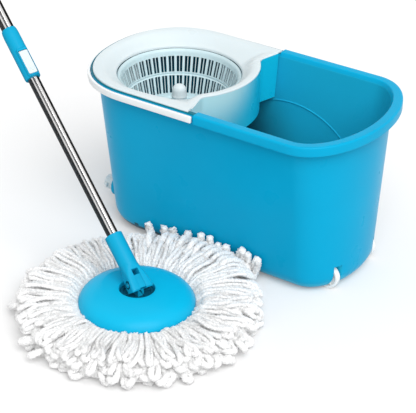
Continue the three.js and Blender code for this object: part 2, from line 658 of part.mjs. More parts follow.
function addHandle(parent) {
  const handle = new THREE.Group();
  handle.position.set(MOP.x, MOP.y, PIVOT.z);
  const alongPin = new THREE.Vector3(...polar(1, PIVOT.azimuth), 0);
  const lean = new THREE.Quaternion().setFromAxisAngle(alongPin, THREE.MathUtils.degToRad(-PIVOT.lean));
  const face = new THREE.Quaternion().setFromAxisAngle(
    new THREE.Vector3(0, 0, 1),
    THREE.MathUtils.degToRad(PIVOT.azimuth - 90),
  );
  handle.quaternion.copy(lean.multiply(face));
  parent.add(handle);
  place('swivel_pin', alongY(cylinder(2.8, -13.6, 13.6, 16)), steel(), handle);
  place('fork_socket', forkSocket(), headBlue(), handle);
  const lowerTube = pipe(LOWER_TUBE.radius, LOWER_TUBE.bore, LOWER_TUBE.from, LOWER_TUBE.to);
  place('lower_tube', cut(lowerTube, socketScrewHole(2.1)), steel(), handle);
  const screwHead = alongX(screw(1.8, 3.4, -12.9, -5.5, -14.6)).translate([0, 0, 58]);
  place('socket_screw', screwHead, steel(), handle);
  addDrive(handle);
  addLock(addGroup(handle, SLEEVE.leverAzimuth));
  const upperTube = pipe(UPPER_TUBE.radius, UPPER_TUBE.bore, UPPER_TUBE.from, UPPER_TUBE.to);
  place('upper_tube', cut(upperTube, anchorPin(1.8, 20)), steel(), handle);
  place('anchor_pin', anchorPin(1.4, 9), steel(), handle);
  place('top_grip', topGrip(), headBlue(), handle);
  place('end_cap', endCap(), headBlue(), handle);
}

const group = new THREE.Group();
addBucket(group);
addDrain(group);
addSpinner(group);
addHead(group);
addHandle(group);
export default group;
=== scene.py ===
# %% [markdown]
# # A spin mop and its bucket
# A spin mop is two things: a tub of moulded polypropylene with a spin-dry basket over one end, and a round
# microfibre mop on a jointed handle of polished tube. The CAD frame holds every piece's place and joints.
# Here each piece gets the fine surface and finish of the real one, built in mesh code from a few dimensions.

# %% Load the frame
import math
from collections import namedtuple

import bmesh
import bpy
import numpy as np
from mathutils import Matrix, Quaternion, Vector


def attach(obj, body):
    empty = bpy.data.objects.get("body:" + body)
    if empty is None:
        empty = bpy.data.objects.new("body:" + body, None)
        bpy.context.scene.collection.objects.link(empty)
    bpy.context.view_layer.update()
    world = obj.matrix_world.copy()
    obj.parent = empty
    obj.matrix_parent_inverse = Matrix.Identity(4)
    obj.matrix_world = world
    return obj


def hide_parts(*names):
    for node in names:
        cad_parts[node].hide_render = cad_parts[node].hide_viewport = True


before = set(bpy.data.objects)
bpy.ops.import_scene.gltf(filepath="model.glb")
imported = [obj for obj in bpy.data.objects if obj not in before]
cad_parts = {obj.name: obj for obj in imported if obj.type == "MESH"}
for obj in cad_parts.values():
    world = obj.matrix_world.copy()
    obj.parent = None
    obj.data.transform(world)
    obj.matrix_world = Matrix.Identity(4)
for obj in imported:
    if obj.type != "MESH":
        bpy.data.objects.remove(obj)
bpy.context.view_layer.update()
MM = 0.001

# %% [markdown]
# ## The view
# The camera stands well back with a long lens, so the tub's sides stay nearly parallel. It looks down at
# about thirty degrees, from in front of the wheels' end.

# %% Camera
AZIMUTH, ELEVATION, ROLL = (math.radians(angle) for angle in (33.078, 29.622, 1.150))
camera_data = bpy.data.cameras.new("camera")
camera_data.lens = 143.48
camera_data.sensor_width = 36
camera_data.clip_end = 50
camera = bpy.data.objects.new("camera", camera_data)
bpy.context.collection.objects.link(camera)
towards_camera = Vector((
    math.sin(AZIMUTH) * math.cos(ELEVATION),
    -math.cos(AZIMUTH) * math.cos(ELEVATION),
    math.sin(ELEVATION),
))
camera.rotation_mode = "QUATERNION"
camera.rotation_quaternion = (-towards_camera).to_track_quat("-Z", "Y") @ Quaternion((0, 0, 1), ROLL)
camera.location = (1.12838, -1.81350, 1.25799)
bpy.context.scene.camera = camera
bpy.context.scene.view_settings.view_transform = "Standard"
print("camera", round(camera.location.length, 2), "m from the tub")


# %% [markdown]
# ## Helpers for meshes
# Almost every piece here is either turned on a lathe or lofted: rows of points with quads between them.
# Rows of points keep each dimension in plain sight, and a fillet on the section's corners gives the moulded
# edge that catches the light, which a bevel modifier would only guess at.

# %% Rows of points into a mesh
def new_object(name, vertices, faces):
    """A mesh object from points in millimetres, with doubled points merged."""
    mesh = bpy.data.meshes.new(name)
    mesh.from_pydata((np.asarray(vertices, float) * MM).tolist(), [], faces)
    build = bmesh.new()
    build.from_mesh(mesh)
    bmesh.ops.remove_doubles(build, verts=build.verts, dist=1e-6)
    bmesh.ops.recalc_face_normals(build, faces=build.faces)
    build.to_mesh(mesh)
    build.free()
    obj = bpy.data.objects.new(name, mesh)
    bpy.context.collection.objects.link(obj)
    return obj


def quads(rows, columns, around=True, along=False, offset=0):
    """Faces between rows of points. around joins each row's ends, along joins the last row to the first."""
    faces = []
    for i in range(rows if along else rows - 1):
        here = offset + i * columns
        there = offset + (i + 1) % rows * columns
        for j in range(columns if around else columns - 1):
            after = (j + 1) % columns
            faces.append((here + j, here + after, there + after, there + j))
    return faces


def capped(rows, columns, offset=0):
    """Faces between rings of points, with one face over the first ring and one over the last."""
    last = offset + (rows - 1) * columns
    ends = [tuple(range(offset, offset + columns))[::-1], tuple(range(last, last + columns))]
    return quads(rows, columns, offset=offset) + ends


def lofted(name, rows, around=True, along=False):
    """A surface through rows of points."""
    rows = np.asarray(rows, float)
    return new_object(name, rows.reshape(-1, 3), quads(rows.shape[0], rows.shape[1], around, along))


def solid(name, rings):
    """A solid through rings of points, closed at both ends."""
    rings = np.asarray(rings, float)
    return new_object(name, rings.reshape(-1, 3), capped(*rings.shape[:2]))


print("helpers: new_object, lofted, solid")

# %% Rounded outlines, lathe and blocks
def filleted(points, radius, closed=True, steps=4):
    """The same outline with its corners rounded, by less where a side is short."""
    rounded = []
    for i, point in enumerate(points):
        corner = Vector(point)
        if not closed and i in (0, len(points) - 1):
            rounded.append(tuple(corner))
            continue
        to_last = Vector(points[i - 1]) - corner
        to_next = Vector(points[(i + 1) % len(points)]) - corner
        half = to_last.angle(to_next) / 2
        reach = min(radius / max(math.tan(half), 1e-3), 0.45 * to_last.length, 0.45 * to_next.length)
        start, end = corner + to_last.normalized() * reach, corner + to_next.normalized() * reach
        for step in range(steps + 1):
            t = step / steps
            rounded.append(tuple(start.lerp(corner, t).lerp(corner.lerp(end, t), t)))
    return rounded


def turned(name, profile, segments=64, closed=True):
    """A solid turned about Z from a section of (radius, height) points."""
    angles = np.linspace(0, 2 * math.pi, segments, endpoint=False)
    rows = [[(r * math.cos(a), r * math.sin(a), z) for a in angles] for r, z in profile]
    return lofted(name, rows, along=closed)


def block(name, x, y, z):
    """A box between pairs of x, y and z."""
    corners = [(a, b, c) for c in z for b in y for a in x]
    faces = [(0, 2, 3, 1), (4, 5, 7, 6), (0, 1, 5, 4), (2, 6, 7, 3), (0, 4, 6, 2), (1, 3, 7, 5)]
    return new_object(name, corners, faces)


def extruded(name, outline, low, high):
    """An outline of (x, y) points raised from one height to another."""
    return solid(name, [[(x, y, z) for x, y in outline] for z in (low, high)])


print("helpers: filleted, turned, block, extruded")

# %% [markdown]
# ## Helpers for joining and finishing
# Pockets, windows and slots are cut with Blender's exact boolean, which leaves true edges. A piece is then
# shaded smooth except over its real corners, given its finish, and hung on the CAD body that carries it.

# %% Cutting, joining and easing
def applied(obj):
    """The object with its modifiers worked into its mesh."""
    graph = bpy.context.evaluated_depsgraph_get()
    mesh = bpy.data.meshes.new_from_object(obj.evaluated_get(graph))
    obj.modifiers.clear()
    obj.data = mesh
    return obj


def combined(base, operation, *others):
    """base joined to (UNION), cut by (DIFFERENCE) or kept inside (INTERSECT) the others, which it uses up."""
    for other in others:
        modifier = base.modifiers.new("combine", "BOOLEAN")
        modifier.operation = operation
        modifier.solver = "EXACT"
        modifier.object = other
        applied(base)
        bpy.data.objects.remove(other)
    return base


def merged(base, *others):
    """One object from several that don't cross."""
    build = bmesh.new()
    for obj in (base, *others):
        build.from_mesh(obj.data)
    build.to_mesh(base.data)
    build.free()
    for obj in others:
        bpy.data.objects.remove(obj)
    return base


def eased(obj, width, segments=2, angle=35):
    """Every edge sharper than the angle gets a small round of that width in millimetres."""
    bevel = obj.modifiers.new("ease", "BEVEL")
    bevel.width = width * MM
    bevel.segments = segments
    bevel.angle_limit = math.radians(angle)
    return applied(obj)


print("helpers: combined, merged, eased")

# %% Placing and finishing
def shifted(obj, x=0.0, y=0.0, z=0.0, turn=None):
    """The mesh turned by (degrees, axis) and then moved, in millimetres."""
    if turn:
        obj.data.transform(Matrix.Rotation(math.radians(turn[0]), 4, turn[1]))
    obj.data.transform(Matrix.Translation(Vector((x, y, z)) * MM))
    return obj


def finished(obj, body, finish, replaces=(), sharp=38, place=None):
    """Shades, paints and places a piece, and hangs it on its body."""
    obj.data.materials.clear()
    obj.data.materials.append(finish)
    obj.data.polygons.foreach_set("use_smooth", [True] * len(obj.data.polygons))
    obj.data.set_sharp_from_angle(angle=math.radians(sharp))
    if place:
        obj.matrix_world = place
    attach(obj, body)
    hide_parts(*replaces)
    print(f"{obj.name}: {len(obj.data.polygons)} faces on {body}")
    return obj


def rod(name, radius, low, high, segments=48):
    """A plain round solid along Z."""
    return turned(name, [(0, low), (radius, low), (radius, high), (0, high)], segments, closed=False)


def across(obj, x=0.0, z=0.0):
    """Lays an upright piece along Y, at that place."""
    return shifted(obj, x=x, z=z, turn=(90, "X"))


print("helpers: shifted, finished, rod, across")

# %% [markdown]
# ## Moulded plastic
# The tub and the mop's fittings are polypropylene straight from the mould: a satin skin with a faint orange
# peel, gloss that comes and goes a little, and colour that is never quite even. Three noises do that, at the
# sizes of a hand, a thumb and a grain of sand. In the white plastics a little light goes below the surface.

# %% Node helpers
def node_tree(name):
    """A new finish with its node tree and its main shader."""
    finish = bpy.data.materials.new(name)
    finish.use_nodes = True
    tree = finish.node_tree
    return finish, tree, tree.nodes["Principled BSDF"]


def noise(tree, size, detail=2.0, stretch=(1, 1, 1)):
    """Noise with features of about that size in millimetres, in the piece's own axes."""
    place = tree.nodes.new("ShaderNodeTexCoord")
    scale = tree.nodes.new("ShaderNodeMapping")
    scale.inputs["Scale"].default_value = stretch
    texture = tree.nodes.new("ShaderNodeTexNoise")
    texture.inputs["Scale"].default_value = 1 / (size * MM)
    texture.inputs["Detail"].default_value = detail
    tree.links.new(place.outputs["Object"], scale.inputs["Vector"])
    tree.links.new(scale.outputs["Vector"], texture.inputs["Vector"])
    return texture.outputs["Fac"]


def between(tree, factor, low, high):
    """A factor of 0.3 to 0.7, where noise mostly lies, spread over low to high."""
    span = tree.nodes.new("ShaderNodeMapRange")
    span.inputs["From Min"].default_value = 0.3
    span.inputs["From Max"].default_value = 0.7
    span.inputs["To Min"].default_value = low
    span.inputs["To Max"].default_value = high
    tree.links.new(factor, span.inputs["Value"])
    return span.outputs["Result"]


def blended(tree, factor, first, second):
    """Turns from the first colour to the second with the factor. Either may be another node's output."""
    mix = tree.nodes.new("ShaderNodeMix")
    mix.data_type = "RGBA"
    for entry, colour in ((mix.inputs[6], first), (mix.inputs[7], second)):
        if isinstance(colour, tuple):
            entry.default_value = (*colour, 1)
        else:
            tree.links.new(colour, entry)
    tree.links.new(factor, mix.inputs[0])
    return mix.outputs[2]


def bumped(tree, shader, height, depth):
    """Gives the shader a relief of that depth in millimetres."""
    bump = tree.nodes.new("ShaderNodeBump")
    bump.inputs["Strength"].default_value = 1.0
    bump.inputs["Distance"].default_value = depth * MM
    tree.links.new(height, bump.inputs["Height"])
    tree.links.new(bump.outputs["Normal"], shader.inputs["Normal"])


print("helpers: noise, between, blended, bumped")

# %% Plastics
def plastic(name, colour, deeper, gloss=(0.27, 0.33), shine=0.15, depth=0.0015, glow=0.0):
    """Moulded plastic: colour drifts to deeper, roughness drifts over gloss, and depth is the peel's."""
    finish, tree, shader = node_tree(name)
    colours = blended(tree, between(tree, noise(tree, 90), 0, 1), colour, deeper)
    tree.links.new(colours, shader.inputs["Base Color"])
    tree.links.new(between(tree, noise(tree, 40), *gloss), shader.inputs["Roughness"])
    bumped(tree, shader, noise(tree, 1.1, detail=1), depth)
    shader.inputs["Specular IOR Level"].default_value = shine
    shader.inputs["Subsurface Weight"].default_value = glow
    shader.inputs["Subsurface Scale"].default_value = 1.0
    shader.inputs["Subsurface Radius"].default_value = (0.004, 0.005, 0.006)
    return finish


SATIN = (0.3, 0.38)  # roughness of the fittings, duller than the tub
tub_blue = plastic("tub_blue", (0.002, 0.355, 0.60), (0.002, 0.34, 0.58), shine=0.06)
# painted shade: a dark teal for the floor of the bail's step, where the bail and the tray shade it
ledge_shade_blue = plastic("ledge_shade_blue", (0.004, 0.15, 0.21), (0.004, 0.14, 0.20), shine=0.06)
fitting_blue = plastic("fitting_blue", (0.003, 0.418, 0.669), (0.003, 0.405, 0.65), gloss=SATIN, shine=0.12)
handle_blue = plastic("handle_blue", (0.003, 0.335, 0.555), (0.003, 0.32, 0.53), gloss=SATIN, shine=0.12)
# painted shade: a dark blue for the well's floor under the swivel and the rings sunk round the pin's ends
hollow_shade_blue = plastic("hollow_shade_blue", (0.004, 0.10, 0.17), (0.003, 0.08, 0.14), gloss=SATIN)
white_plastic = plastic("white_plastic", (0.62, 0.695, 0.72), (0.60, 0.68, 0.71), shine=0.3, glow=0.1)
basket_white = plastic("basket_white", (0.54, 0.685, 0.725), (0.52, 0.67, 0.71), shine=0.3, glow=0.1)
bright_plastic = plastic("bright_plastic", (0.81, 0.83, 0.835), (0.79, 0.815, 0.82), shine=0.3, glow=0.1)
grey_acetal = plastic("grey_acetal", (0.45, 0.47, 0.49), (0.40, 0.42, 0.44), gloss=(0.4, 0.55))
black_rubber = plastic(
    "black_rubber", (0.03, 0.03, 0.033), (0.022, 0.022, 0.025), gloss=(0.6, 0.8), depth=0.03)
print("plastics made")

# %% [markdown]
# ## Polished steel
# The handle's tubes are thin stainless steel, drawn and then polished lengthwise. Very long, thin noise gives
# the drawn lines, and broad smudges in the gloss keep the reflection from looking like a mirror's.


# %% Steel
def steel(name, gloss, line_depth):
    """Drawn steel: roughness drifts over gloss, and line_depth is that of the drawn lines."""
    finish, tree, shader = node_tree(name)
    lines = noise(tree, 0.5, detail=3, stretch=(1, 1, 0.02))
    colours = blended(tree, between(tree, lines, 0, 1), (0.80, 0.79, 0.78), (0.70, 0.69, 0.69))
    tree.links.new(colours, shader.inputs["Base Color"])
    tree.links.new(between(tree, noise(tree, 25, detail=5), *gloss), shader.inputs["Roughness"])
    bumped(tree, shader, lines, line_depth)
    shader.inputs["Metallic"].default_value = 1.0
    return finish


polished_steel = steel("polished_steel", (0.10, 0.18), 0.004)
plated_steel = steel("plated_steel", (0.25, 0.4), 0.01)
print("steels made")

# %% [markdown]
# ## Microfibre
# Chenille pile scatters light sideways, so it looks soft and nearly shadowless, and each tuft is lit from
# within. Sheen gives the pale edge, a little scattering fills the shade, and a fine bump breaks up the tufts.
# Small grey blotches painted into the colour stand for the shade between the tufts.


# %% Microfibre
def pile(name):
    """Soft white pile, with grey blotches painted into its colour as the shade between its tufts."""
    finish, tree, shader = node_tree(name)
    # painted shade: grey blotches about the size of a tuft
    tuft_shade = between(tree, noise(tree, 2.6, detail=3), -0.8, 1.8)
    colours = blended(tree, tuft_shade, (0.98, 0.98, 0.975), (0.76, 0.76, 0.76))
    tree.links.new(colours, shader.inputs["Base Color"])
    shader.inputs["Roughness"].default_value = 0.95
    shader.inputs["Specular IOR Level"].default_value = 0.15
    shader.inputs["Sheen Weight"].default_value = 0.9
    shader.inputs["Sheen Roughness"].default_value = 0.5
    shader.inputs["Subsurface Weight"].default_value = 0.5
    shader.inputs["Subsurface Scale"].default_value = 1.0
    shader.inputs["Subsurface Radius"].default_value = (0.005, 0.005, 0.005)
    bumped(tree, shader, noise(tree, 3.2, detail=4), 1.6)
    return finish


microfibre = pile("microfibre")
print("microfibre made")

# %% [markdown]
# ## The tub's plan
# The tub is an oval with one blunt end and one round one. Each end is half of a superellipse, which is how a
# mould maker keeps a corner full without a visible arc, and the long sides between them are straight. Every
# level of the tub is this plan, drawn in by an inset and by the lean of the walls.

# %% Plan of the tub
LENGTH, WIDTH, HEIGHT = 464, 264, 250
WALL, FLOOR, LIP = 2.5, 3, 14  # thicknesses of wall and floor, and how far the rim turns down
WALL_TOP = HEIGHT - LIP
WALL_INSET = 15  # from the rim's edge in to the wall
ENDS = {1: (79, 2.02, 7), -1: (116, 2.23, 24)}  # side: length, exponent and lean of that rounded end
SIDE_LEAN = 27  # how far a long wall leans in on its way down
NOTCH_X = {-1: (3.6, 5.6), 1: (-7.4, -6.4)}  # where the bail's step ends, along the front and the rear wall
NOTCH_INSET, NOTCH_DROP = 4.6, 2.4


def plan_corners(arc_steps=44, side_step=7.5, mark_gap=2.5):
    """Points round the plan as (side, cos share, sin share, x), anticlockwise from the wheels' end."""
    corners = []
    straight = (LENGTH / 2 - ENDS[1][0], -(LENGTH / 2 - ENDS[-1][0]))
    for side in (1, -1):
        power = ENDS[side][1]
        for i in range(arc_steps + 1):
            angle = math.pi * (i / arc_steps - 0.5)
            across = 0.0 if i in (0, arc_steps) else math.cos(angle) ** (2 / power)
            along = math.copysign(abs(math.sin(angle)) ** (2 / power), math.sin(angle))
            corners.append((side, across, along * side, 0.0))
        first, last = straight if side > 0 else straight[::-1]
        count = int(abs(last - first) / side_step)
        between_ends = [first + (last - first) * i / count for i in range(1, count)]
        marks = NOTCH_X[side]
        marked = [x for x in between_ends if min(abs(x - mark) for mark in marks) > mark_gap] + list(marks)
        corners += [(0, 0.0, float(side), x) for x in sorted(marked, reverse=side > 0)]
    return corners


CORNERS = plan_corners()


def lean_at(z):
    """The share of a wall's lean at a height, from none at its top to all of it at the floor."""
    return max(0.0, 1 - z / WALL_TOP)


def plan_point(corner, inset, z):
    """Where a point of the plan lies at a height, that far in from the rim's edge."""
    side, across, along, x = corner
    y = along * (WIDTH / 2 - inset - SIDE_LEAN * lean_at(z))
    if side:
        length, _, lean = ENDS[side]
        x = side * (LENGTH / 2 - length + across * (length - inset - lean * lean_at(z)))
    return (x, y, z)


print(len(CORNERS), "points round the tub")

# %% [markdown]
# ## The tub
# One section runs from the middle of the underside, up the wall, round the turned-down rim, and down the
# inside to the middle of the floor. Sweeping it round the plan makes a closed shell of true thickness. Over
# the basket's half the rim is stepped in and down, and the white bail lies in that step.

# %% Section of the tub
BOTTOM_RADIUS = 25
RIM_FLAT = 14  # how far in the rim's top is level
RIDGE = [0, 3.2, 3.6, 3.9, RIM_FLAT, 18]  # insets across the rim's top


def wall_arc(inset, bottom, radius, steps=8):
    """The round from the floor up into a wall, as (inset, height) points."""
    angles = [math.pi / 2 * i / steps for i in range(steps + 1)]
    return [(inset + radius * (1 - math.sin(a)), bottom + radius * (1 - math.cos(a))) for a in angles]


def tub_section():
    """The tub's section as (inset, height) points, up the outside and down the inside."""
    inner = WALL_INSET + WALL
    rim = [
        (WALL_INSET, WALL_TOP - 6), (WALL_INSET, HEIGHT - WALL), (WALL, HEIGHT - WALL), (WALL, WALL_TOP),
        (0, WALL_TOP), (0, HEIGHT), (RIM_FLAT, HEIGHT), (inner - 0.5, HEIGHT - 6), (inner, WALL_TOP),
    ]
    radii = [0, 1.0, 1.2, 0.5, 0.7, 3.2, 2.6, 3, 0]
    rounded = []
    for i, radius in enumerate(radii):
        if radius == 0:
            rounded.append(rim[i])
        else:
            rounded += filleted(rim[i - 1:i + 2], radius, closed=False)[1:-1]
        if rim[i] == (0, HEIGHT):
            rounded += [(RIDGE[2], HEIGHT), (RIDGE[3], HEIGHT)]
    foot, head = BOTTOM_RADIUS + 14, WALL_TOP - 20
    walls = [(WALL_INSET, z) for z in np.linspace(foot, head, 12)]
    inside = [(inner, z) for z in np.linspace(head, foot, 12)]
    down = wall_arc(inner, FLOOR, BOTTOM_RADIUS - WALL)[::-1]
    return [*wall_arc(WALL_INSET, 0, BOTTOM_RADIUS), *walls, *rounded, *inside, *down]


print(len(tub_section()), "points in the tub's section")

# %% Tub shell
STEP_FROM, STEP_RISE = 240, 7  # height at which the bail's step starts, and how much further up it is full
RIM_UNDER = 247.6  # just above the underside of the rim's top
RIDGE_IN = [NOTCH_INSET, 6.05, 6.5, 6.9, RIM_FLAT, 18]  # where the step moves the ridge's insets
RIDGE_DROP = [1.0, 1.0, 1.1, NOTCH_DROP, NOTCH_DROP, NOTCH_DROP]  # and how far it lowers them


def in_step(corner):
    """Whether the bail's step runs past this point of the plan."""
    side, _, along, x = corner
    return side < 0 or (side == 0 and x <= NOTCH_X[int(along)][0])


def rim_point(corner, inset, z):
    """A point of the tub's section, moved in and down where the bail's step is."""
    if not in_step(corner) or z < WALL_TOP - 1 or inset > RIM_FLAT + 2:
        return plan_point(corner, inset, z)
    sunk = min(1, max(0, (z - STEP_FROM) / STEP_RISE))
    if z < RIM_UNDER and inset > 1:
        drawn_in = NOTCH_INSET * min(1, max(0, (RIM_FLAT - inset) / 10))
        x, y, _ = plan_point(corner, inset + drawn_in, z)
        return (x, y, z - NOTCH_DROP * sunk)
    x, y, _ = plan_point(corner, np.interp(inset, RIDGE, RIDGE_IN), z)
    return (x, y, z - np.interp(inset, RIDGE, RIDGE_DROP) * sunk)


def tub_shell():
    """The section swept round the plan, and drawn together at the middle of the underside and the floor."""
    rows = [[rim_point(corner, inset, z) for corner in CORNERS] for inset, z in tub_section()]
    rows.insert(0, [(0, 0, 0)] * len(CORNERS))
    rows.append([(0, 0, FLOOR)] * len(CORNERS))
    return lofted("tub", rows)


tub = tub_shell()
print("tub shell", len(tub.data.vertices), "points")

# %% [markdown]
# ### Wheel pockets, drain boss and arches
# Two wheels stand in pockets at the blunt end, and each pocket is a tunnel moulded up into the tub. The
# tunnel is the pocket's own shape grown by the wall, kept inside the tub, joined on and then hollowed. The
# arch is a low bead inside each long wall, which stiffens it.

# %% Wheel pockets
WHEEL_X, WHEEL_Y, WHEEL_RADIUS, WHEEL_WIDTH = 185, 52, 18, 9
POCKET_BESIDE, POCKET_ROUND = 2.2, 3  # free space at each side of a wheel and round its tread
POCKET_END = WHEEL_X + 40  # outside the tub's end, so that the pocket is open there
TUNNEL_WALL = 3.5
OUTSIDE_LEVELS = 21  # levels of the section from the underside up to just under the rim


def wheel_pocket(y, grow):
    """The space round a wheel, grown by that much."""
    half = WHEEL_WIDTH / 2 + POCKET_BESIDE + grow
    radius = WHEEL_RADIUS + POCKET_ROUND + grow
    outline = [(POCKET_END, -1), (POCKET_END, WHEEL_RADIUS + radius), (WHEEL_X, WHEEL_RADIUS + radius)]
    arc = [math.pi / 2 + math.pi / 2 * i / 14 for i in range(1, 15)]
    outline += [(WHEEL_X + radius * math.cos(a), WHEEL_RADIUS + radius * math.sin(a)) for a in arc]
    outline.append((WHEEL_X - radius, -1))
    pocket = extruded("pocket", outline, -half, half)
    return shifted(pocket, y=y, turn=(90, "X"))


def tub_solid():
    """The tub's outside as one solid, up to just under the rim."""
    levels = tub_section()[:OUTSIDE_LEVELS]
    rows = [[plan_point(corner, inset, z) for corner in CORNERS] for inset, z in levels]
    top = levels[-1][1]
    rows.insert(0, [(0, 0, 0)] * len(CORNERS))
    rows.append([(0, 0, top)] * len(CORNERS))
    return lofted("tub_solid", rows)


for wheel_y in (-WHEEL_Y, WHEEL_Y):
    tunnel = combined(wheel_pocket(wheel_y, TUNNEL_WALL), "INTERSECT", tub_solid())
    combined(tub, "UNION", tunnel)
print("tub with wheel tunnels", len(tub.data.polygons), "faces")

# %% Drain boss and arches
DRAIN_X, DRAIN_Y, DRAIN_Z = -200, -28, 32
BOSS_RADIUS, BOSS_LENGTH = 17, 20
ARCH_X, ARCH_Z, ARCH_RADIUS = 20, 42, 137  # the arch's middle and size
ARCH_FEET = (133, -116)  # x of its two feet
BEAD, BEAD_SIDES = 1.3, 10


def drain_boss():
    """The thick round of plastic that the drain's spout passes through."""
    section = [(0, 0), (BOSS_RADIUS, 0), (BOSS_RADIUS, BOSS_LENGTH), (0, BOSS_LENGTH)]
    boss = turned("boss", filleted(section, 1.2, closed=False), closed=False)
    return shifted(boss, DRAIN_X - 1, DRAIN_Y, DRAIN_Z, turn=(90, "Y"))


def arch(side):
    """A low bead sunk halfway into the inside of one long wall."""
    rings = []
    start, end = (math.acos((foot - ARCH_X) / ARCH_RADIUS) for foot in ARCH_FEET)
    for angle in np.linspace(start, end, 72):
        x, z = ARCH_X + ARCH_RADIUS * math.cos(angle), ARCH_Z + ARCH_RADIUS * math.sin(angle)
        y = side * (WIDTH / 2 - WALL_INSET - WALL - SIDE_LEAN * lean_at(z))
        ring = []
        for k in range(BEAD_SIDES):
            turn = 2 * math.pi * k / BEAD_SIDES
            out = BEAD * math.cos(turn)
            proud = 0.8 * side * BEAD * math.sin(turn)
            ring.append((x + out * math.cos(angle), y - proud, z + out * math.sin(angle)))
        rings.append(ring)
    return solid("arch", rings)


combined(tub, "UNION", drain_boss(), arch(1), arch(-1))
combined(tub, "DIFFERENCE", wheel_pocket(-WHEEL_Y, 0), wheel_pocket(WHEEL_Y, 0))
finished(tub, "bucket", tub_blue, ["bucket_shell"], sharp=32)

# %% The inside's colour
# painted shade: the inside's blue darkens low down and towards the basket's end
PAINTED_SHADE_BLUE, LIGHT_BLUE = (0.008, 0.09, 0.14), (0.012, 0.41, 0.63)
LEDGE_LOW = 246.6  # faces of the rim above this are on its top


def ramp(tree, way, start, end):
    """Goes from 0 to 1 between two places along a direction through the piece, in millimetres."""
    place = tree.nodes.new("ShaderNodeTexCoord")
    along = tree.nodes.new("ShaderNodeVectorMath")
    along.operation = "DOT_PRODUCT"
    along.inputs[1].default_value = way
    span = tree.nodes.new("ShaderNodeMapRange")
    span.interpolation_type = "SMOOTHSTEP"
    span.inputs["From Min"].default_value = start * MM
    span.inputs["From Max"].default_value = end * MM
    tree.links.new(place.outputs["Object"], along.inputs[0])
    tree.links.new(along.outputs["Value"], span.inputs["Value"])
    return span.outputs["Result"]


def recoloured(finish, colours):
    """The finish with another node's output for its colour."""
    finish.node_tree.links.new(colours, finish.node_tree.nodes["Principled BSDF"].inputs["Base Color"])
    return finish


def tub_inside():
    """The tub's blue, with shade painted into it: darker below the basket, where less light comes in."""
    finish = plastic("tub_inside", LIGHT_BLUE, LIGHT_BLUE, shine=0.06)
    tree = finish.node_tree
    return recoloured(finish, blended(tree, ramp(tree, (1, 0, 0.6), 15, 135), PAINTED_SHADE_BLUE, LIGHT_BLUE))


def repainted(obj, finish, chosen):
    """Gives another finish to the faces that chosen(x, y, z, normal) picks by their middles, in mm."""
    obj.data.materials.append(finish)
    faces = [face for face in obj.data.polygons if chosen(*(face.center / MM), face.normal)]
    for face in faces:
        face.material_index = len(obj.data.materials) - 1
    print(len(faces), "faces in", finish.name)


def within(x, y, z, inset):
    """Whether a point in millimetres lies inside the plan drawn in by that much."""
    half = WIDTH / 2 - inset - SIDE_LEAN * lean_at(z)
    length, power, lean = ENDS[1 if x > 0 else -1]
    past = max(0.0, abs(x) - (LENGTH / 2 - length)) / (length - inset - lean * lean_at(z))
    return z > FLOOR / 2 and past ** power + (abs(y) / half) ** power < 1


def on_inside(x, y, z, normal):
    return within(x, y, z, WALL_INSET + WALL / 2)


def on_ledge(x, y, z, normal):
    """The floor of the bail's step, painted darker as the shade that the bail and the tray cast on it."""
    beside_basket = x < NOTCH_X[1 if y > 0 else -1][0]
    stepped = z > LEDGE_LOW and beside_basket and within(x, y, z, NOTCH_INSET - 0.4)
    return stepped and not on_inside(x, y, z, normal)


# the faces inside the tub get the painted shade
repainted(tub, tub_inside(), on_inside)
# the floor of the bail's step gets its painted shade
repainted(tub, ledge_shade_blue, on_ledge)

# %% [markdown]
# ## The bail
# The carrying bail is a flat white band that lies in the rim's step, so that from above only a thin line of
# blue parts it from the tray. It is lofted round the same plan, with its own small section.

# %% Bail
BAIL_LOW, BAIL_TALL, BAIL_THICK = 236.2, 10, 4
BAIL_END, PIVOT_X = {-1: 1.5, 1: -9.2}, -16  # the front end reaches further than the rear one
STUD_RADIUS, STUD_LENGTH = 2.6, 5


def bail_band():
    """The band round the basket's end of the plan. Its section shrinks at both tips, which rounds them."""
    section = filleted([
        (0, BAIL_LOW), (0, BAIL_LOW + BAIL_TALL),
        (BAIL_THICK, BAIL_LOW + BAIL_TALL), (BAIL_THICK, BAIL_LOW),
    ], 1.1, steps=3)
    sides = {}
    for side in (-1, 1):
        straight = [c for c in CORNERS if c[0] == 0 and c[2] == side and c[3] < BAIL_END[side] - 3]
        tip = [(0, 0.0, float(side), BAIL_END[side] - back) for back in (0, 0.25, 0.8, 1.7)]
        sides[side] = tip + sorted(straight, key=lambda c: -c[3])
    curve = [c for c in CORNERS if c[0] < 0][::-1]
    spine = sides[-1] + curve + sides[1][::-1]
    shrink = [0.62, 0.8, 0.93, 1.0]
    middle_in, middle_z = BAIL_THICK / 2, BAIL_LOW + BAIL_TALL / 2
    rings = []
    for i, corner in enumerate(spine):
        scale = shrink[min(i, len(spine) - 1 - i, 3)]
        ring = []
        for inset, z in section:
            x, y, _ = plan_point(corner, middle_in + (inset - middle_in) * scale, WALL_TOP)
            ring.append((x, y, middle_z + (z - middle_z) * scale))
        rings.append(ring)
    return solid("bail_band", rings)


def bail_stud(side):
    """The stud inside one end of the band, which it hinges on."""
    section = filleted(
        [(0, 0), (STUD_RADIUS, 0), (STUD_RADIUS, STUD_LENGTH), (0, STUD_LENGTH)], 0.5, closed=False)
    stud = turned("stud", section, 24, closed=False)
    start = WIDTH / 2 - BAIL_THICK - 3.6
    return shifted(stud, PIVOT_X, side * start, BAIL_LOW + BAIL_TALL / 2, turn=(-90 * side, "X"))


bail = combined(bail_band(), "UNION", bail_stud(1), bail_stud(-1))
bail.name = "bail_handle"
finished(bail, "bail", bright_plastic, ["bail"])

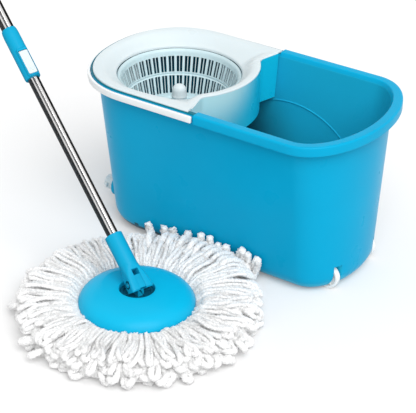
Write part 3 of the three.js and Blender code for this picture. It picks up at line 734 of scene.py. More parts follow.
# %% [markdown]
# ## Wheels
# Each wheel is a plain white roller on a steel axle. Its section has a rounded tread, a sunk web and a hub,
# as a moulded wheel does to keep every wall the same thickness, and six ribs stiffen the web.

# %% Wheels
BORE, HUB, TREAD, WEB_HALF = 2.8, 6, 14, 1.2  # radii of bore, hub and the tread's inside, and half the web
RIBS = 6


def wheel_section():
    """Half of the wheel's cut face, as (radius, height) points."""
    half = WHEEL_WIDTH / 2
    return filleted([
        (BORE, -half), (HUB, -half), (HUB, -WEB_HALF), (TREAD, -WEB_HALF), (TREAD, -half),
        (WHEEL_RADIUS, -half), (WHEEL_RADIUS, half),
        (TREAD, half), (TREAD, WEB_HALF), (HUB, WEB_HALF), (HUB, half), (BORE, half),
    ], 1.0)


def roller(name, y):
    """A wheel with its ribs, stood upright in its pocket."""
    wheel = turned(name, wheel_section(), 64)
    for i in range(RIBS):
        rib = block("rib", (HUB - 0.5, TREAD + 0.5), (-0.7, 0.7), (-3.4, 3.4))
        wheel = merged(wheel, shifted(rib, turn=(360 / RIBS * i, "Z")))
    return shifted(wheel, WHEEL_X, y, WHEEL_RADIUS, turn=(90, "X"))


for end, wheel_y in (("front", -WHEEL_Y), ("rear", WHEEL_Y)):
    wheel = roller(f"roller_{end}", wheel_y)
    finished(wheel, f"wheel_{end}", bright_plastic, [f"wheel_{end}"])

# %% [markdown]
# ## The drain
# A spout passes through the boss low in the basket's end, and a push-on cap with a finger lug closes it. The
# cap's rim is fluted for grip, which is a lathe section whose radius steps in and out with the angle.

# %% Drain spout and cap
DRAIN_MIDDLE = Vector((DRAIN_X - 1, DRAIN_Y, DRAIN_Z))
DRAIN_PLACE = Matrix.Translation(DRAIN_MIDDLE * MM) @ Matrix.Rotation(-math.pi / 2, 4, "Y")
CAP_RADIUS, FLUTES, FLUTE_DEPTH = 11.2, 18, 0.45
FLUTED_FROM = 10.9  # only points of the section further out than this are fluted


def fluted_cap():
    """The cap, whose outermost wall goes in and out by a flute's depth round its circle."""
    section = filleted([
        (0, 17), (10.4, 17), (CAP_RADIUS, 16), (CAP_RADIUS, 5.2), (8.2, 5.2), (8.2, 14), (0, 14),
    ], 0.9, closed=False)
    rows = []
    for r, z in section:
        row = []
        for a in np.linspace(0, 2 * math.pi, 144, endpoint=False):
            reach = r - FLUTE_DEPTH * (r > FLUTED_FROM) * (math.cos(FLUTES * a) > 0)
            row.append((reach * math.cos(a), reach * math.sin(a), z))
        rows.append(row)
    return lofted("drain_cover", rows)


def finger_lug():
    """The flat lug at the cap's edge, with a small hole."""
    outline = filleted([(-3, -10.6), (-3, -16), (3, -16), (3, -10.6)], 2.6)
    lug = eased(extruded("lug", outline, 9, 12), 0.4)
    hole = turned("hole", [(0, 8), (1.3, 8), (1.3, 13), (0, 13)], 24, closed=False)
    return combined(lug, "DIFFERENCE", shifted(hole, y=-13.4))


cap = combined(fluted_cap(), "UNION", finger_lug())
finished(cap, "drain_cap", white_plastic, ["drain_cap"], place=DRAIN_PLACE)
spout_section = filleted([
    (5.5, -21), (7.7, -21), (7.7, 2.4), (12.5, 2.4), (12.5, 4.6), (7.2, 4.6), (7.2, 13), (5.5, 13),
], 0.5)
spout = turned("spout", spout_section, 48)
finished(spout, "bucket", white_plastic, ["drain_spout"], place=DRAIN_PLACE)

# %% [markdown]
# ## The spin tray
# A white tray drops over the tub's end. It is a shallow dish that falls from the rim to a round opening, and
# its free edge turns down in a skirt that swells round the basket and sweeps back to both walls. The dish's
# rows run inwards from the edge to the opening and the skirt's run down from it, so each is lofted by itself,
# with its true thickness, and then they are joined.

# %% Tray plan
BASKET_X = -107
TRAY_INSET, TRAY_SHEET, TRAY_TOP = 7.3, 2.2, 250.4
OPENING_RADIUS = 91.5
BULGE_RADIUS, BULGE_ANGLE = 118, math.radians(38)
FREE_X, SKIRT_BOTTOM = -8, 180


def bezier(a, b, c, d, steps):
    """Points on the curve from a to d that b and c pull on."""
    t = np.linspace(0, 1, steps + 1)[:, None]
    a, b, c, d = (np.asarray(p, float) for p in (a, b, c, d))
    return a * (1 - t) ** 3 + 3 * b * t * (1 - t) ** 2 + 3 * c * t * t * (1 - t) + d * t ** 3


def free_edge(wall_y=WIDTH / 2 - TRAY_INSET):
    """The tray's free edge from the front wall round the basket to the rear wall."""
    turn = BULGE_ANGLE
    start = np.array([BASKET_X + BULGE_RADIUS * math.cos(turn), BULGE_RADIUS * math.sin(turn)])
    lead = start + 8 * np.array([-math.sin(turn), math.cos(turn)])
    rear = bezier(start, lead, (FREE_X - 4, wall_y - 22), (FREE_X, wall_y), 26)
    angles = np.linspace(-turn, turn, 49)
    bulge = np.column_stack([BASKET_X + BULGE_RADIUS * np.cos(angles), BULGE_RADIUS * np.sin(angles)])
    front = rear[1:][::-1] * (1, -1)
    return np.vstack([front, bulge, rear[1:]])


def rim_side():
    """The rest of the tray's outline, along the tub's rim from the rear wall to the front wall."""
    run = [c for c in CORNERS if c[0] < 0 or (c[0] == 0 and c[3] < FREE_X - 2)]
    return np.array([plan_point(c, TRAY_INSET, WALL_TOP)[:2] for c in run])


edge = free_edge()
tray_outline = np.vstack([edge, rim_side()])
print(len(edge), "points on the free edge,", len(tray_outline), "round the tray")

# %% Tray dish and skirt
DISH = [  # share of the way from the edge to the opening, and the fall from the tray's top
    (0.0, -2.5), (0.004, -1.4), (0.016, -0.5), (0.035, -0.1), (0.06, 0.0), (0.14, 0.0), (0.30, -0.2),
    (0.42, -1.2), (0.55, -3.7), (0.68, -7.0), (0.80, -10.3), (0.90, -12.9), (0.955, -14.1), (0.985, -15.0),
    (1.0, -16.6),
]
LIP_FALL, UNDER_FALL = -18.4, -17.4  # the foot of the opening's lip, and where the underside meets it


def dish_row(share, fall, out=0.0):
    """The outline drawn in towards the opening by a share of the way, or to that far outside the opening."""
    row = []
    for x, y in tray_outline:
        dx, dy = x - BASKET_X, y
        far = math.hypot(dx, dy)
        reach = far + (OPENING_RADIUS + out - far) * share
        row.append((BASKET_X + dx / far * reach, dy / far * reach, TRAY_TOP + fall))
    return row


def dish():
    """The dish as a closed loop of rows: over the top, round the opening's lip, and back underneath."""
    rows = [dish_row(*level) for level in DISH]
    rows.append(dish_row(1.0, LIP_FALL))
    rows += [dish_row(1.0, fall, TRAY_SHEET) for fall in (LIP_FALL, UNDER_FALL)]
    rows += [dish_row(share, fall - TRAY_SHEET) for share, fall in DISH[11:4:-1]]
    rows.append(dish_row(0.02, -TRAY_SHEET))
    return lofted("spin_tray", rows, along=True)


SWEEP_FROM = 60  # distance from the tub's middle line at which the skirt starts to follow the walls' lean


def skirt():
    """A strip that hangs from the free edge, drawn in at both ends to clear the tub's leaning walls."""
    hung = free_edge(WIDTH / 2 - WALL_INSET - WALL - 1.2)
    along = np.gradient(hung, axis=0)
    inward = np.column_stack([-along[:, 1], along[:, 0]]) / np.linalg.norm(along, axis=1)[:, None]
    heights = [TRAY_TOP - 1.2, *np.linspace(TRAY_TOP - 6, SKIRT_BOTTOM + 1, 10), SKIRT_BOTTOM]
    aside = np.abs(hung[:, 1])
    ends = np.clip((aside - SWEEP_FROM) / (aside.max() - SWEEP_FROM), 0, 1) ** 1.5
    levels = []
    hair = 0.03  # keeps the skirt's outside from lying exactly on the dish's edge
    for depth, down in ((hair, heights), (TRAY_SHEET, heights[::-1])):
        for z in down:
            flat = hung + inward * (depth if SKIRT_BOTTOM < z else TRAY_SHEET / 2)
            y = flat[:, 1] - np.sign(flat[:, 1]) * ends * SIDE_LEAN * lean_at(z)
            levels.append(np.column_stack([flat[:, 0], y, np.full(len(y), z)]))
    return solid("skirt", np.array(levels).transpose(1, 0, 2))


tray = combined(dish(), "UNION", skirt())
finished(tray, "tray", white_plastic, ["spinner_tray"], sharp=40)

# %% The skirt's colour
# painted reflection: the tub's blue laid into the skirt's colour, and PALE where little of it shows
PALE, LOW_REFLECTION_BLUE, FAR_REFLECTION_BLUE = (0.46, 0.73, 0.77), (0.05, 0.44, 0.60), (0.005, 0.49, 0.71)


def skirt_painted_blue():
    """White plastic with a painted reflection of the tub's blue in its colour, more of it lower down and
    towards the rear wall.
    """
    finish = plastic("skirt_painted_blue", PALE, PALE, shine=0.3, glow=0.1)
    tree = finish.node_tree
    downwards = blended(tree, ramp(tree, (0, 0.3, -1), -262, -190), PALE, LOW_REFLECTION_BLUE)
    return recoloured(finish, blended(tree, ramp(tree, (0, 1, -0.25), -105, -15), downwards, FAR_REFLECTION_BLUE))


def on_skirt(x, y, z, normal):
    faces_out = normal.x > 0.02 and abs(normal.z) < 0.5
    return faces_out and x > FREE_X - 16 and z < TRAY_TOP - 2


# the skirt's outer faces get the painted reflection of the tub's blue
repainted(tray, skirt_painted_blue(), on_skirt)

# %% [markdown]
# ## The basket
# The basket is a tapered cup with two tiers of narrow slots, set in pairs, and a plain rib between the
# tiers. Slots that fine are made by leaving faces out of a lathe's grid: each pair's cell has five columns,
# and the second and fourth are open between the tier's heights. Thickening then turns them into real slots.

# %% Basket wall
PAIRS = 42
SLOT_SHARES = (0.145, 0.455, 0.545, 0.855)  # where the two slots of a pair start and end across their cell
SLOT_COLUMNS = (1, 3)
BASKET_WALL = [
    (65.0, 160.0), (68.2, 160.6), (70.4, 163.5), (71.2, 168.0), (73.0, 175.0), (75.4, 184.0), (77.6, 193.0),
    (79.2, 194.0), (79.9, 195.2), (79.9, 197.0), (79.2, 198.2), (79.4, 199.0), (82.8, 211.0), (86.0, 222.0),
    (86.6, 224.5), (87.2, 227.5), (87.8, 229.4), (88.8, 230.2), (89.5, 229.6), (89.5, 227.0),
]
TIERS = ((168.0, 193.0), (199.0, 222.0))


def basket_columns(count):
    """Angles round the basket: the start of each pair's cell, and both sides of both slots."""
    cell = 2 * math.pi / count
    return [i * cell + share * cell for i in range(count) for share in (0.0, *SLOT_SHARES)]


def thickened(obj, thickness, offset):
    """A sheet given its wall; offset 1 grows it outwards and -1 inwards."""
    wall = obj.modifiers.new("wall", "SOLIDIFY")
    wall.thickness = thickness * MM
    wall.offset = offset
    wall.use_even_offset = True
    return applied(obj)


def slotted_wall():
    """The cup's wall, with the faces left out where a slot is."""
    angles = basket_columns(PAIRS)
    rows = [[(r * math.cos(a), r * math.sin(a), z) for a in angles] for r, z in BASKET_WALL]
    faces = []
    for face in quads(len(rows), len(angles)):
        level, column = divmod(face[0], len(angles))
        low, high = BASKET_WALL[level][1], BASKET_WALL[level + 1][1]
        in_tier = any(low >= a and high <= b for a, b in TIERS)
        if not (in_tier and column % (len(SLOT_SHARES) + 1) in SLOT_COLUMNS):
            faces.append(face)
    return thickened(new_object("spin_basket", np.reshape(rows, (-1, 3)), faces), 1.9, offset=1.0)


FLOOR_SLOTS = 24


def basket_floor():
    """The cup's floor with its hub and a ring of drain slots."""
    section = filleted([
        (7.3, 158), (7.3, 196.4), (10.6, 196.4), (11.4, 187), (13.4, 176), (17.5, 162), (22, 160), (66, 160),
        (66, 158),
    ], 1.2)
    floor = turned("basket_floor", section, 96)
    slots = []
    for i in range(FLOOR_SLOTS):
        slot = block("slot", (28, 58), (-1.6, 1.6), (150, 165))
        slots.append(shifted(slot, turn=(360 / FLOOR_SLOTS * (i + 0.5), "Z")))
    return combined(floor, "DIFFERENCE", merged(*slots))


basket = shifted(merged(slotted_wall(), basket_floor()), x=BASKET_X)
finished(basket, "basket", basket_white, ["basket"], sharp=40)

# %% [markdown]
# ### Hub dome and the cross below
# A domed cap hides the spindle's end. Under the basket a cross of four arms carries the spindle, and its
# uprights clip to the tray. The arms have the ribbed section of a moulding that has to stay stiff when wet.

# %% Hub dome, carrier cross
dome_section = filleted([
    (8.4, 196.8), (12.2, 196.8), (11.0, 200), (10.6, 204), (10.1, 208), (8.6, 211.4), (5.6, 214),
    (2.4, 215.1), (0, 215.2),
], 0.8, closed=False)
dome = turned("hub_dome", [(0, 212.6), (4.6, 211.8), (7.6, 208), (8.4, 204), *dome_section], 64, closed=False)
finished(shifted(dome, x=BASKET_X), "basket", white_plastic, ["hub_cap"])


FIRST_ARM = 78  # degrees from the tub's length to the first arm


def cross():
    """The bearing's boss with four arms, each a T in section with an upright at its end."""
    section = filleted([(4.3, 149), (4.3, 154), (15, 154), (15, 146), (0, 146), (0, 149)], 0.6, closed=False)
    boss = turned("bearing_cross", section, 48, closed=False)
    for i in range(4):
        arm = block("arm", (12, 97.2), (-7, 7), (149.4, 152))
        web = block("web", (12, 96), (-1.2, 1.2), (146.2, 149.8))
        upright = block("upright", (94.4, 97.2), (-7, 7), (148, 229.6))
        arm = combined(arm, "UNION", web, upright)
        boss = combined(boss, "UNION", shifted(arm, turn=(FIRST_ARM + 90 * i, "Z")))
    return eased(boss, 0.6, angle=50)


finished(shifted(cross(), x=BASKET_X), "tray", white_plastic, ["carrier_cross"])

# %% [markdown]
# ## The mop's disc
# The disc is a shallow blue dome with a rolled edge and a round well in the middle, in which the swivel
# turns. It is one lathe section. The well's floor is a separate plate, held from below by a screwed ring.

# %% Disc and swivel
MOP_X, MOP_Y = 14.6, -275.6
HOLE_RADIUS = 24.5
PIVOT_Z = 60
PIN_AZIMUTH, LEAN = 70, 51.6  # degrees from X to the swivel pin, and from upright to the handle
HEAD_PLACE = Matrix.Translation(Vector((MOP_X, MOP_Y, 0)) * MM)
DOME = [
    (HOLE_RADIUS, 51), (30, 50.8), (37, 50.3), (44, 49.6), (52, 48.6), (60, 47.2), (65, 45.8), (69, 43.9),
    (72.6, 41.6), (75.5, 38.8), (77.5, 36.2), (79, 33.4),
]


def disc():
    """The dome from the well's lip to the rolled edge, and back underneath."""
    lip = [(HOLE_RADIUS, 44.2), *filleted([(HOLE_RADIUS, 44.2), DOME[0], DOME[1]], 1.4, closed=False)[1:-1]]
    edge_round = [(79.8, 31.6), (80.0, 29.9), (80.0, 27.4), (79.6, 27.0), (77.8, 27.0)]
    under = [(77.8, 29.3), (73.8, 37.2), (67.8, 41.6), (59.2, 45), (38, 47.8)]
    inner = [(38, 40), (33, 40), (33, 46), (HOLE_RADIUS + 2.2, 47), (HOLE_RADIUS + 2.2, 44.2)]
    return turned("disc", [*lip, *DOME[1:], *edge_round, *under, *inner], 144)


finished(disc(), "disc", fitting_blue, ["mop_disc"], place=HEAD_PLACE)


def swivel_plate():
    """The well's floor, ribbed like the spokes of a wheel."""
    section = [(0, 40.2), (30, 40.2), (30, 43.6), (22, 43.6), (22, 45), (19.5, 45), (19.5, 42.6), (0, 42.6)]
    plate = turned("swivel_plate", filleted(section, 0.5, closed=False), 96, closed=False)
    for turn in range(20, 380, 60):
        rib = shifted(block("rib", (6, 20.5), (-1.1, 1.1), (41.6, 44.6)), turn=(turn, "Z"))
        plate = combined(plate, "UNION", eased(rib, 0.4))
    return plate


KNUCKLE, KNUCKLE_HALF = 9.6, 4.7  # radius of the knuckle's round top, and half its width


def knuckle():
    """The tongue that fills the fork, with the block at its front that limits the handle's lean."""
    arc = [math.pi * i / 24 for i in range(25)]
    outline = [(KNUCKLE * math.cos(a), KNUCKLE * math.sin(a)) for a in arc]
    foot = 43 - PIVOT_Z
    outline += [(-KNUCKLE, foot), (KNUCKLE, foot)]
    tongue = across(extruded("knuckle", outline, -KNUCKLE_HALF, KNUCKLE_HALF))
    cam = block("cam", (0, KNUCKLE), (-KNUCKLE_HALF, KNUCKLE_HALF), (-11.5, 8))
    tongue = combined(tongue, "UNION", shifted(cam, turn=(-LEAN, "Y")))
    bore = across(rod("bore", 3.15, -10, 10, 40))
    return shifted(eased(combined(tongue, "DIFFERENCE", bore), 0.6), z=PIVOT_Z)


swivel_place = HEAD_PLACE @ Matrix.Rotation(math.radians(PIN_AZIMUTH - 90), 4, "Z")
# the well's floor gets the dark blue of painted shade
finished(swivel_plate(), "swivel", hollow_shade_blue, ["swivel_base"], place=swivel_place)
finished(knuckle(), "swivel", handle_blue, ["swivel_base"], place=swivel_place)

# %% [markdown]
# ## The refill ring
# The strands are sewn round a flat ring that clips under the disc. Little of it shows, except from below.

# %% Refill ring
ring_section = filleted([(56, 21.2), (76, 21.2), (76, 29), (73.6, 29), (73.6, 24), (56, 24)], 0.6)
ring = turned("clip_ring", ring_section, 120)
finished(ring, "disc", white_plastic, ["refill_ring"], place=HEAD_PLACE)

# %% [markdown]
# ## The strands
# The refill is some three hundred and sixty loops of chenille: a cord with a pile of tufts round it, doubled
# back on itself so that each ends in a soft hairpin. Cloth or hair simulation would need far more points than
# the look does, so every loop's path is worked out: it leaves the ring, climbs over the layer below, sweeps
# outwards with a little wander, and folds up where it meets the tub. A last row of short loops stands along
# the tub's wall with its tips nearly level. Every point of a tube's rings has its own radius, which makes the
# tufts.

# %% Layers of the pile
random = np.random.default_rng(20)
# drift is how far a loop wavers sideways, and sweep is how far it turns round the ring on its way out
Layer = namedtuple("Layer", "loops root root_z tip share cord drift sweep", defaults=(4.5, 0.07))
LAYERS = [  # loops, root radius, root height, tip radius, share of the pile's height, cord radius
    Layer(40, 52, 9, 155, 0.08, 4.6),
    Layer(46, 68, 13, 162, 0.26, 4.5),
    Layer(50, 74, 18, 164, 0.46, 4.4),
    Layer(56, 76, 22, 163, 0.66, 4.0),
    Layer(72, 78, 25, 160, 0.86, 3.4),
    Layer(84, 79, 27, 154, 1.00, 3.0),
]
STANDING = Layer(60, 128, 36, 7, 1.0, 4.7, drift=1.5, sweep=0.01)  # its tip is measured from the tub's wall
STANDING_AZIMUTHS = range(66, 121, 5)
PILE_TOP = [
    (60, 22), (76, 27), (84, 33), (92, 37), (110, 40), (130, 41), (150, 40), (162, 36), (172, 29), (182, 20),
    (195, 12),
]


def pile_height(radius):
    """Height of the pile's top at that distance from its middle."""
    radii, heights = np.array(PILE_TOP).T
    return np.interp(radius, radii, heights)


print(len(LAYERS), "layers of loops, and", len(STANDING_AZIMUTHS), "loops along the tub")

# %% Path of a loop
TUB_FRONT, WALL_FOOT = -101, 20  # where the pile meets the tub: y, and the height that the wall starts at
WALL_SLOPE = 0.1  # how much further forward the wall is for each millimetre up it
FOLD_BACK, FOLD_UP = 1.1, 1.2  # what a loop loses in y and gains in height for each millimetre past the wall


def hairpin(root, tip, width_root, width_tip, count=30):
    """Out along one side, round the end and back, as (distance, sideways) points."""
    out = np.linspace(root, tip - width_tip, count)
    share = (out - root) / (out[-1] - root)
    side = width_root + (width_tip - width_root) * share ** 0.8
    angles = np.linspace(0, math.pi, 9)[1:-1]
    bend = np.column_stack([out[-1] + width_tip * np.sin(angles), width_tip * np.cos(angles)])
    legs = np.column_stack([out, side])
    return np.vstack([legs, bend, legs[::-1] * (1, -1)])


def tip_radius(azimuth, layer):
    """How far out a loop's tip is: further towards the tub, where the pile is pressed up its wall."""
    facing_tub = max(0.0, math.cos(azimuth - math.pi / 2)) ** 4
    far_side = max(0.0, math.cos(azimuth - math.radians(150))) ** 3
    if layer is STANDING:
        to_wall = (TUB_FRONT - MOP_Y) / math.sin(azimuth)
        return layer.tip + (to_wall + 20 * facing_tub + random.normal(0, 2))
    return layer.tip + (random.normal(0, 5) + facing_tub * (14 + 16 * layer.share) + 9 * far_side)


def loop_path(azimuth, layer):
    """One loop that leaves the ring at that azimuth, wanders outwards and folds up where it meets the tub."""
    cord = layer.cord
    tip = tip_radius(azimuth, layer)
    width_tip = cord * random.uniform(1.0, 1.35)
    width_root = 0.42 * 2 * math.pi * layer.root / layer.loops / 1.3
    away, side = hairpin(layer.root, tip, width_root, width_tip).T
    tilt = 1.4 if layer is STANDING else random.uniform(-1.1, 1.1)
    wander = random.normal(0, 1, 5)
    travel = (away - layer.root) / (tip - layer.root)
    waves = wander[0] * np.sin(3 * travel + wander[1]) + 0.5 * wander[2] * np.sin(8 * travel)
    drift = layer.drift * travel * waves
    sweep = layer.sweep * wander[3] * travel ** 2
    angle = azimuth + (side * math.cos(tilt) + drift) / np.maximum(away, 40) + sweep
    top = pile_height(away) * layer.share + cord
    lift = layer.root_z + (top - layer.root_z) * np.clip((away - layer.root) / 16, 0, 1)
    bob = 1.3 * np.sin(9 * travel + 6 * wander[1]) + 0.8 * wander[4]
    z = np.maximum(cord * 1.05, lift - cord + bob + side * math.sin(tilt))
    x, y = MOP_X + away * np.cos(angle), MOP_Y + away * np.sin(angle)
    past = np.maximum(0, y - TUB_FRONT - WALL_SLOPE * np.minimum(0, WALL_FOOT - z))
    return np.column_stack([x, y - FOLD_BACK * past, z + FOLD_UP * past])


print("helpers: hairpin, loop_path")

# %% All the loops
loops = []
for number, layer in enumerate(LAYERS):
    half_step = 0.5 * (number % 2)  # every other layer lies over the gaps of the one below
    turns = [2 * math.pi * (i + half_step) / layer.loops + random.normal(0, 0.03) for i in range(layer.loops)]
    loops.append([loop_path(turn, layer) for turn in turns])
turns = [math.radians(azimuth + random.normal(0, 1.2)) for azimuth in STANDING_AZIMUTHS]
loops.append([loop_path(turn, STANDING) for turn in turns])
print(sum(len(paths) for paths in loops), "loops")

# %% Tufted cord
SIDES, TWIST = 10, 0.39  # points round a cord, and how far each ring is turned from the one before
END_HALF = 0.1  # how far along the cord, to each side of its middle, the rounded end of the loop reaches


def evenly(path, step):
    """The path's points again, a fixed step apart."""
    gaps = np.linalg.norm(np.diff(path, axis=0), axis=1)
    travelled = np.concatenate([[0], np.cumsum(gaps)])
    count = max(8, int(travelled[-1] / step))
    at = np.linspace(0, travelled[-1], count)
    return np.column_stack([np.interp(at, travelled, path[:, k]) for k in range(3)])


def nubs(count):
    """Radii that put a knob at every other point of the rings, as in brickwork, each of its own size."""
    ring, side = np.mgrid[0:count, 0:SIDES]
    crest = (ring % 2 == 0) & ((side + ring // 2) % 2 == 0)
    marks = np.arange(0, count + 4, 4)
    slow = np.interp(np.arange(count), marks, random.uniform(0.84, 1.16, len(marks)))
    knobs, hollows = random.uniform(1.1, 1.55, crest.shape), random.uniform(0.7, 0.95, crest.shape)
    return slow[:, None] * np.where(crest, knobs, hollows)


def tufted(path, cord, step):
    """Rings along the path, uneven like tufts, smoother and fuller round the loop's end, and drawn in at both
    roots."""
    points = evenly(path, step)
    points[1:-1] = (points[:-2] + 2 * points[1:-1] + points[2:]) / 4
    forward = np.gradient(points, axis=0)
    forward /= np.linalg.norm(forward, axis=1)[:, None]
    sideways = np.cross(forward, (0.05, 0.02, 1.0))
    sideways /= np.linalg.norm(sideways, axis=1)[:, None]
    upright = np.cross(sideways, forward)
    count = len(points)
    s = np.arange(count)[:, None]
    turn = np.linspace(0, 2 * math.pi, SIDES, endpoint=False)[None, :] + TWIST * s
    bend = np.clip(1.3 - np.abs(s / count - 0.5) / END_HALF, 0, 1)
    radius = cord * (1 + 0.14 * bend) * (1 + (nubs(count) - 1) * (1 - 0.6 * bend))
    radius[[0, -1]] *= 0.4
    outwards = np.cos(turn)[..., None] * sideways[:, None, :] + np.sin(turn)[..., None] * upright[:, None, :]
    rings = points[:, None, :] + radius[..., None] * outwards
    rings[..., 2] = np.maximum(rings[..., 2], 0.2)
    return rings


print("helper: tufted")

# %% Strands
def strand_layer(name, layers, step):
    """The loops of some layers as one mesh."""
    points, faces, offset = [], [], 0
    for number in layers:
        for path in loops[number]:
            rings = tufted(path, [*LAYERS, STANDING][number].cord, step)
            faces += capped(len(rings), SIDES, offset)
            points.append(rings.reshape(-1, 3))
            offset += len(rings) * SIDES
    mesh = bpy.data.meshes.new(name)
    mesh.from_pydata((np.vstack(points) * MM).tolist(), [], faces)
    obj = bpy.data.objects.new(name, mesh)
    bpy.context.collection.objects.link(obj)
    return obj


STRANDS = (  # piece, its layers from the floor up, and the step between a tube's rings
    ("strands_floor", (0, 1), 3.2),
    ("strands_low", (2, 3), 2.6),
    ("strands_high", (4,), 2.3),
    ("strands_top", (5, 6), 2.3),
)
for strand_name, strand_layers, strand_step in STRANDS:
    strand = strand_layer(strand_name, strand_layers, strand_step)
    finished(strand, "disc", microfibre, ["refill_strands"], sharp=180)

# %% The middle of the pile
def middle(points=360, ripples=58):
    """The mass of cords that the outer layers lie on, too dense to see between."""
    levels = [(58, 8), (58, 20), *[(r, 0) for r in range(66, 151, 6)], (155, 0), (158, 8), (150, 4), (58, 4)]
    rows = []
    for r, z in levels:  # a height of 0 stands for the pile's own
        row = []
        for i in range(points):
            a = 2 * math.pi * i / points
            ripple = 1.1 * math.sin(ripples * a + 0.06 * r)
            height = z or 0.80 * pile_height(r) + ripple - (5 if r > 152 else 0)
            x, y = MOP_X + r * math.cos(a), MOP_Y + r * math.sin(a)
            row.append((x, min(y, TUB_FRONT - 8), height))
        rows.append(row)
    return lofted("strands_middle", rows, along=True)


finished(middle(), "disc", microfibre, ["refill_strands"], sharp=180)

# %% [markdown]
# ## The handle
# Everything from the fork up shares one tilted frame: Z runs up the handle, Y along the swivel pin, and X out
# of the handle's upper face. Pieces are made upright round that Z and placed by one matrix.

# %% Frame of the handle
pin_way = Vector((math.cos(math.radians(PIN_AZIMUTH)), math.sin(math.radians(PIN_AZIMUTH)), 0))
handle_place = (
    Matrix.Translation(Vector((MOP_X, MOP_Y, PIVOT_Z)) * MM)
    @ Matrix.Rotation(math.radians(-LEAN), 4, pin_way)
    @ Matrix.Rotation(math.radians(PIN_AZIMUTH - 90), 4, "Z")
)
print("handle points", tuple(round(v, 3) for v in handle_place.col[2][:3]))

# %% [markdown]
# ### Fork socket
# The socket grips the lower tube, and its foot widens into two cheeks that straddle the swivel's knuckle. The
# slot's square top shows above the knuckle as a dark window. Barrel and cheeks are joined, then the slot, the
# bore and a round recess for each end of the pin are cut, and every edge is eased as a mould leaves it.

# %% Socket and pin
SOCKET_RADIUS, SOCKET_TOP, SOCKET_FLOOR, BARREL_LOW = 12.6, 73, 34, 26
SLOT_HALF, SLOT_TOP = 5.0, 16.5
RECESS_IN, RECESS_OUT, RECESS_Y = 3.7, 6.0, 12.4  # radii of the ring sunk round each pin end, and its floor
CHEEKS = [  # height, half width, half depth and superellipse exponent from the barrel down
    (BARREL_LOW, SOCKET_RADIUS, SOCKET_RADIUS, 2.0), (23, 12.7, 12.3, 2.2), (20, 12.9, 11.6, 2.7),
    (17, 13.1, 10.9, 3.3), (14, 13.4, 10.5, 4.2), (11, 13.8, 10.2, 5.2), (8, 14.2, 10.0, 6.0),
    (4, 14.7, 10.0, 6.6), (0, 15.2, 10.0, 7.0), (-4, 15.7, 10.0, 7.0), (-8, 16.2, 10.0, 7.0),
    (-12, 16.6, 9.9, 7.0), (-15, 16.4, 9.4, 6.0),
]


def cheek_row(z, wide, deep, power, count=96):
    """One level of the foot: a superellipse, round at the barrel and nearly square at the cheeks."""
    row = []
    for i in range(count):
        a = 2 * math.pi * i / count
        x = math.copysign(abs(math.cos(a)) ** (2 / power), math.cos(a)) * deep
        y = math.copysign(abs(math.sin(a)) ** (2 / power), math.sin(a)) * wide
        row.append((x, y, z))
    return row


def cheeks():
    """The barrel's foot, drawn out into two flat cheeks and cut off at a slant."""
    foot = solid("cheeks", [cheek_row(*level) for level in CHEEKS])
    below = [(-30, -30), (30, -30), (30, -12), (10, -12), (7.6, -13.8), (-10, -9.4), (-30, -4.4)]
    foot = combined(foot, "DIFFERENCE", across(extruded("slant", below, -30, 30)))
    return eased(foot, 0.9, segments=3, angle=40)


def fork_socket():
    """Barrel and cheeks, cut for the knuckle, the tube, the pin with its recesses, and the screw."""
    barrel_section = [(0, BARREL_LOW), (SOCKET_RADIUS, BARREL_LOW - 0.1), *filleted(
        [(SOCKET_RADIUS, BARREL_LOW), (SOCKET_RADIUS, SOCKET_TOP), (0, SOCKET_TOP)], 1.0, closed=False)]
    socket = combined(turned("socket", barrel_section, 96, closed=False), "UNION", cheeks())
    slot = block("slot", (-20, 20), (-SLOT_HALF, SLOT_HALF), (-20, SLOT_TOP))
    bore = rod("bore", 8.4, SOCKET_FLOOR, SOCKET_TOP + 1, 64)
    pin_hole = across(rod("pin_hole", 3.1, -20, 20))
    recesses = []
    for low, high in ((RECESS_Y, 20), (-20, -RECESS_Y)):
        section = [(RECESS_IN, low), (RECESS_OUT, low), (RECESS_OUT, high), (RECESS_IN, high)]
        recesses.append(across(turned("recess", section, 48)))
    screw_hole = shifted(rod("screw_hole", 3.3, 11.2, 16, 32), z=58, turn=(-90, "Y"))
    combined(socket, "DIFFERENCE", slot, bore, pin_hole, *recesses, screw_hole)
    return eased(socket, 0.35, angle=50)


def in_recess(x, y, z, normal):
    return RECESS_IN - 0.1 < math.hypot(x, z) < RECESS_OUT + 0.1 and RECESS_Y - 0.2 < abs(y) < 15


socket = finished(fork_socket(), "handle", handle_blue, ["fork_socket"], place=handle_place)
# the rings sunk round the pin's ends get the dark blue of painted shade
repainted(socket, hollow_shade_blue, in_recess)
pin_section = filleted([(0, -13.6), (2.8, -13.6), (2.8, 13.6), (0, 13.6)], 0.7, closed=False)
pin = across(turned("hinge_pin", pin_section, 40, closed=False))
finished(pin, "handle", plated_steel, ["swivel_pin"], place=handle_place)

# %% [markdown]
# ### Tubes
# Two stainless tubes slide one in the other, so the upper is a little fatter. Each is a lathe section with
# its true wall, and the edges at both ends are rounded a little, so that they neither scrape nor cut.

# %% Lower and upper tube
lower_section = filleted([(7.4, 34.3), (8.1, 34.3), (8.1, 655), (7.4, 655)], 0.25)
lower = turned("inner_tube", lower_section, 96)
finished(lower, "handle", polished_steel, ["lower_tube"], place=handle_place)
upper_section = filleted([(8.5, 352), (9.2, 352), (9.2, 985), (8.5, 985)], 0.3)
upper = turned("outer_tube", upper_section, 96)
finished(upper, "upper", polished_steel, ["upper_tube"], place=handle_place)

# %% [markdown]
# ### Lock sleeve and lever
# The sleeve clamps the upper tube. A white lever lies flush in a window in its flat face, and flips out on a
# pin at its top end. The sleeve narrows above the lever, and a groove parts it from the ring at its foot.

